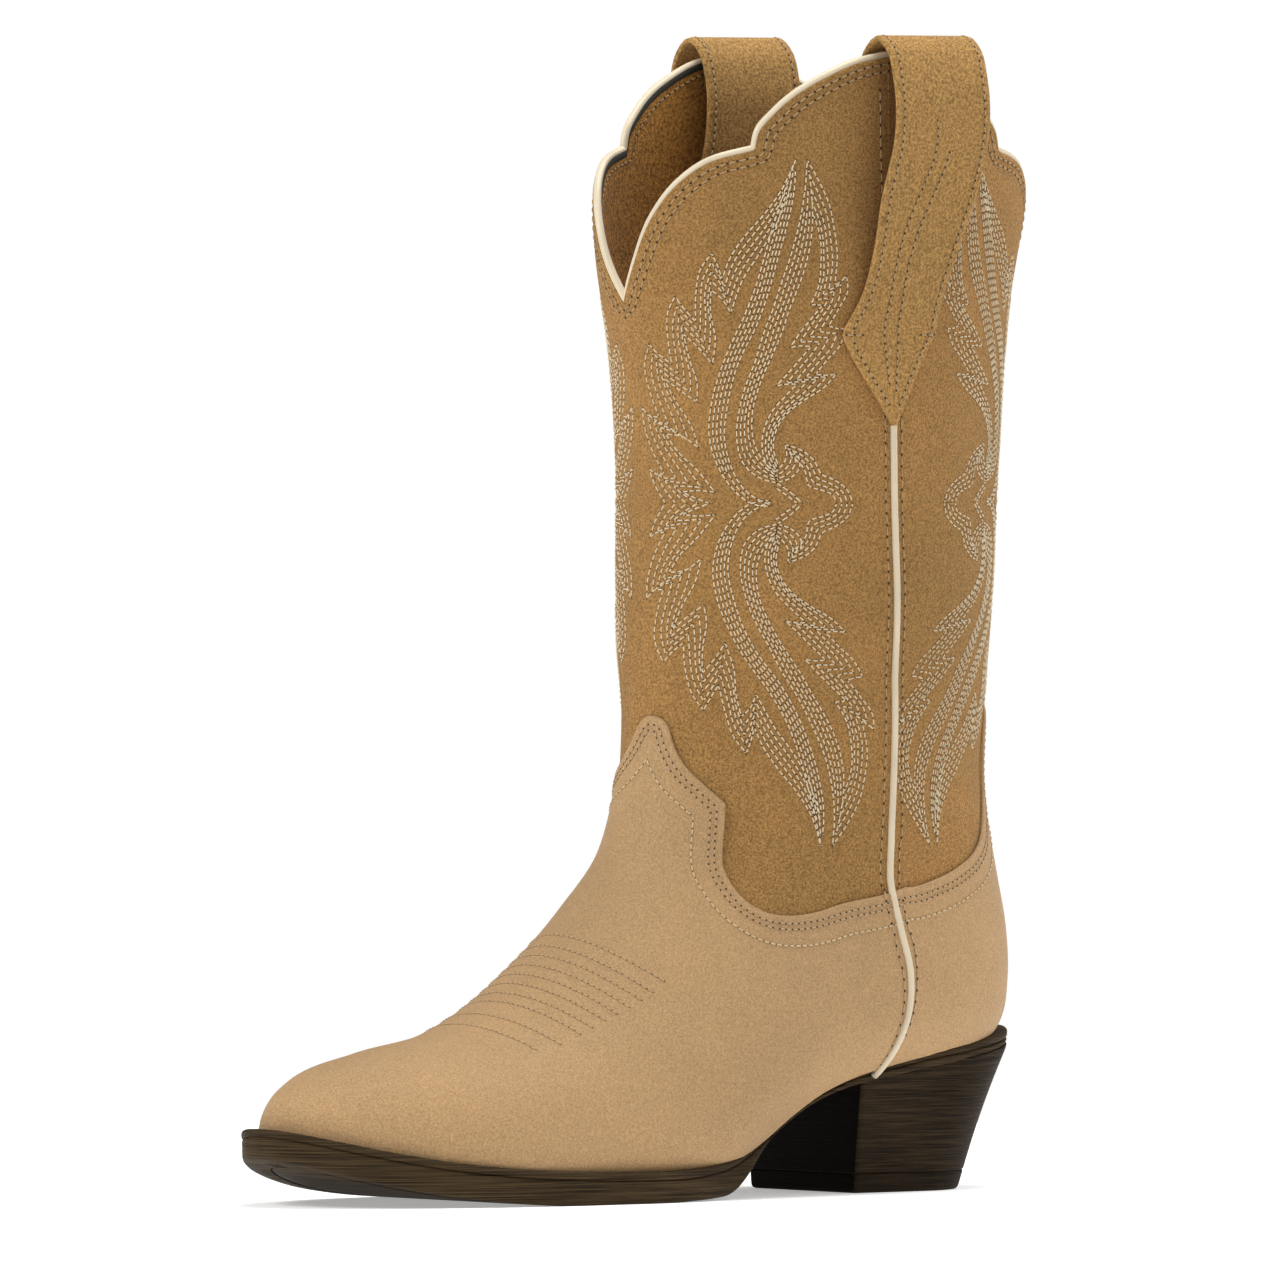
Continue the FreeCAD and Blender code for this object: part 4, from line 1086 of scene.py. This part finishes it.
slab_piece("welt_rim", [(9.0, over(-0.1)), (3.0, over(-0.05)), (1.1, over(0.0)),
                        (0.45, over(-0.15)), (0.08, over(-0.55)), (0.0, over(-1.1)),
                        (0.05, over(-1.9)), (0.5, over(-2.3)), (0.9, over(-2.6)),
                        (9.0, over(-2.7))], "welt")
slab_piece("outsole_body", [(9.0, over(-2.6)), (0.9, over(-2.55)), (0.45, over(-2.8)),
                            (0.2, over(-3.3)), (0.3, beneath(1.6)), (0.6, beneath(0.7)),
                            (1.3, beneath(0.15)), (2.2, beneath(0.0)), (9.0, beneath(0.0))],
           "outsole")

HEEL_CORNER = 1.6
HEEL_HOLLOW = 1.3


def arc(x, y, radius, start, end, count=6):
    turn = np.radians(np.linspace(start, end, count))
    return np.stack([x + radius * np.cos(turn), y + radius * np.sin(turn)], -1)


def heel_ring(z, inset):
    """The heel's D outline at a height: breast corners rounded, straight sides, round back."""
    half, back = np.array(HEEL_BASE) + z / HEEL_TOP_Z * np.subtract(HEEL_TOP, HEEL_BASE) - inset
    # a slight hollow in the line of the back
    hollow = HEEL_HOLLOW * math.sin(math.pi * z / HEEL_TOP_Z)
    back -= hollow
    half -= hollow * 0.35
    centre = back - half
    side = half - HEEL_CORNER
    front = HEEL_BREAST_Y + inset
    turn_in = front + HEEL_CORNER
    return np.concatenate([np.linspace((-side, front), (side, front), 12),
                           arc(side, turn_in, HEEL_CORNER, -90, 0)[1:],
                           np.linspace((half, turn_in), (half, centre), 14)[1:],
                           arc(0, centre, half, 0, 180, 40)[1:],
                           np.linspace((-half, centre), (-half, turn_in), 14)[1:],
                           arc(-side, turn_in, HEEL_CORNER, 180, 270)[1:-1]])


def heel_form(z, inset):
    """A ring of the heel at a height, stopped under the sole and kept inside the sole's edge."""
    levels = np.linspace(0, HEEL_TOP_Z, 51)
    gap = levels[1]
    rings = np.stack([heel_ring(level, inset) for level in levels])
    room = underside(rings[..., 1]) + INTO_SOLE - levels[:, None]
    low = np.clip((room > 0).sum(axis=0) - 1, 0, len(levels) - 2)
    spot = np.arange(rings.shape[1])
    part = room[low, spot] / (room[low, spot] - room[low + 1, spot])
    height = np.minimum(z, levels[low] + np.clip(part, 0, 1) * gap)
    step = np.clip((height / gap).astype(int), 0, len(levels) - 2)
    part = (height / gap - step)[:, None]
    ring = rings[step, spot] * (1 - part) + rings[step + 1, spot] * part
    middle = np.array([0.0, HEEL_MIDDLE_Y])
    edge = sole_ring(0.0, 240) - middle
    turn = np.arctan2(edge[:, 1], edge[:, 0])
    order = np.argsort(turn)
    arm = ring - middle
    reach = np.linalg.norm(arm, axis=1)
    limit = np.interp(np.arctan2(arm[:, 1], arm[:, 0]), turn[order],
                      np.linalg.norm(edge, axis=1)[order], period=2 * np.pi)
    ring = middle + arm * (np.minimum(reach, limit - 0.25) / reach)[:, None]
    return np.column_stack([ring, np.minimum(height, underside(ring[:, 1]) + INTO_SOLE)])


def heel_piece(name, heights, look, node):
    """Rings of the heel from (height, inset) pairs, from the floor up, its breast face darker with
    painted shade from the arch above it.
    """
    lattice = np.stack([heel_form(z, inset) for z, inset in heights])
    count = lattice.shape[1]
    last = (len(lattice) - 1) * count
    faces = grid_faces(len(lattice), count, closed=True).tolist()
    faces += [list(range(count))[::-1], list(range(last, last + count))]
    piece = mesh_piece(name, world(lattice.reshape(-1, 3)), faces, look)
    # faces turned toward the toe take the darker slot: painted shade under the arch
    piece.data.materials.append(heel_breast_shade)
    for face in piece.data.polygons:
        if face.normal.y < SHADED_BREAST_FACING:
            face.material_index = 1
    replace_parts(piece, node)


INTO_SOLE = 0.4
SHADED_BREAST_FACING = -0.8
steps = [(TOP_LIFT + 0.05, 0.3), (TOP_LIFT + 0.3, 0.05), (TOP_LIFT + 0.8, 0.0)]
steps += [(z, 0.0) for z in np.linspace(8, HEEL_TOP_Z, 36)]
heel_piece("heel_stack", steps, heel_grain, "heel_block")
steps = [(0.0, 1.0), (0.35, 0.35), (0.9, 0.1), (2.0, 0.0), (4.0, 0.0), (5.4, 0.0), (5.85, 0.2),
         (TOP_LIFT, 0.5)]
heel_piece("heel_top_lift", steps, lift_rubber, "top_lift")

# ---- the CAD pieces that still show
record_slots = {s["node"]: s.get("material_slot") for s in frame["record"]["subparts"]}
for node, piece in frame["nodes"].items():
    if piece.hide_render:
        continue
    piece.data.materials.clear()
    piece.data.materials.append(INNER_LOOKS[record_slots[node]])

# ---- floor, lights and camera
# each lamp: right of the view, towards the camera, and up, in metres, then its size and power
LAMPS = (("key", 1.0, -0.6, 1.6, 0.7, 15.0), ("left", -1.2, 0.8, 1.2, 0.9, 19.0),
         ("right", 1.6, 0.2, 0.8, 1.0, 4.2), ("top", 0.15, 0.0, 1.9, 0.9, 19.0))
LAMP_AIM = Vector((0, 0, 0.17))
FLOOR_GLOW = 0.35
FLOOR_RADIUS = 0.6
FLOOR_SIDES = 96
ROOM = 1.0
CEILING = 0.30
CEILING_FROM, CEILING_TO = 0.05, 0.12
VIEW = math.radians(52)
CAMERA_AWAY = 7.0
CAMERA_Z, AIM_Z = 0.290, 0.1713
CAMERA_RIGHT = 0.0034
AIM_Y = -0.006 - MIDDLE_Y * MM
up = Vector((0, 0, 1))
toward = Vector((math.sin(VIEW), -math.cos(VIEW), 0))
across = Vector((math.cos(VIEW), math.sin(VIEW), 0))


def in_scene(name, data):
    made = bpy.data.objects.new(name, data)
    bpy.context.scene.collection.objects.link(made)
    return made


def look_at(made, target):
    made.rotation_euler = (target - made.location).to_track_quat("-Z", "Y").to_euler()


floor_mesh = bpy.data.meshes.new("floor")
turns = np.linspace(0, 2 * np.pi, FLOOR_SIDES, endpoint=False)
floor_mesh.from_pydata([(FLOOR_RADIUS * math.cos(turn), FLOOR_RADIUS * math.sin(turn), 0)
                        for turn in turns], [], [list(range(FLOOR_SIDES))])
tree, finished = material("floor_paint", 0.8, 0.0, 0.1)
floor_mesh.materials.append(finished(ramp(tree, noise(tree, 3.0), 0.3, 0.90, 0.7, 0.92)))
shader = tree.nodes["Principled BSDF"]
shader.inputs["Emission Color"].default_value = (1, 1, 1, 1)
shader.inputs["Emission Strength"].default_value = FLOOR_GLOW
in_scene("floor", floor_mesh)

for name, right, near, high, size, power in LAMPS:
    data = bpy.data.lights.new(name, "AREA")
    data.shape = "DISK"
    data.size = size
    data.energy = power
    lamp = in_scene(name, data)
    lamp.location = right * across + near * toward + high * up
    look_at(lamp, LAMP_AIM)

# the room: white walls near the horizon, a dimmer ceiling
world_look = bpy.data.worlds.new("studio")
world_look.use_nodes = True
tree = world_look.node_tree
backdrop = tree.nodes["Background"]
backdrop.inputs["Strength"].default_value = ROOM
split = tree.nodes.new("ShaderNodeSeparateXYZ")
tree.links.new(tree.nodes.new("ShaderNodeTexCoord").outputs["Generated"], split.inputs["Vector"])
height = tree.nodes.new("ShaderNodeMapRange")
height.inputs["From Min"].default_value = CEILING_FROM
height.inputs["From Max"].default_value = CEILING_TO
tree.links.new(split.outputs["Z"], height.inputs["Value"])
tree.links.new(ramp(tree, height.outputs["Result"], 0.0, 1.0, 1.0, CEILING),
               backdrop.inputs["Color"])
bpy.context.scene.world = world_look
bpy.context.scene.view_settings.view_transform = "Standard"

camera_data = bpy.data.cameras.new("camera")
camera_data.sensor_width = 36
camera_data.lens = 645.2
camera_data.clip_end = 60
camera = in_scene("camera", camera_data)
beside = Vector((0, AIM_Y, 0)) + CAMERA_RIGHT * across
camera.location = beside + CAMERA_Z * up + CAMERA_AWAY * toward
look_at(camera, beside + AIM_Z * up)
bpy.context.scene.camera = camera
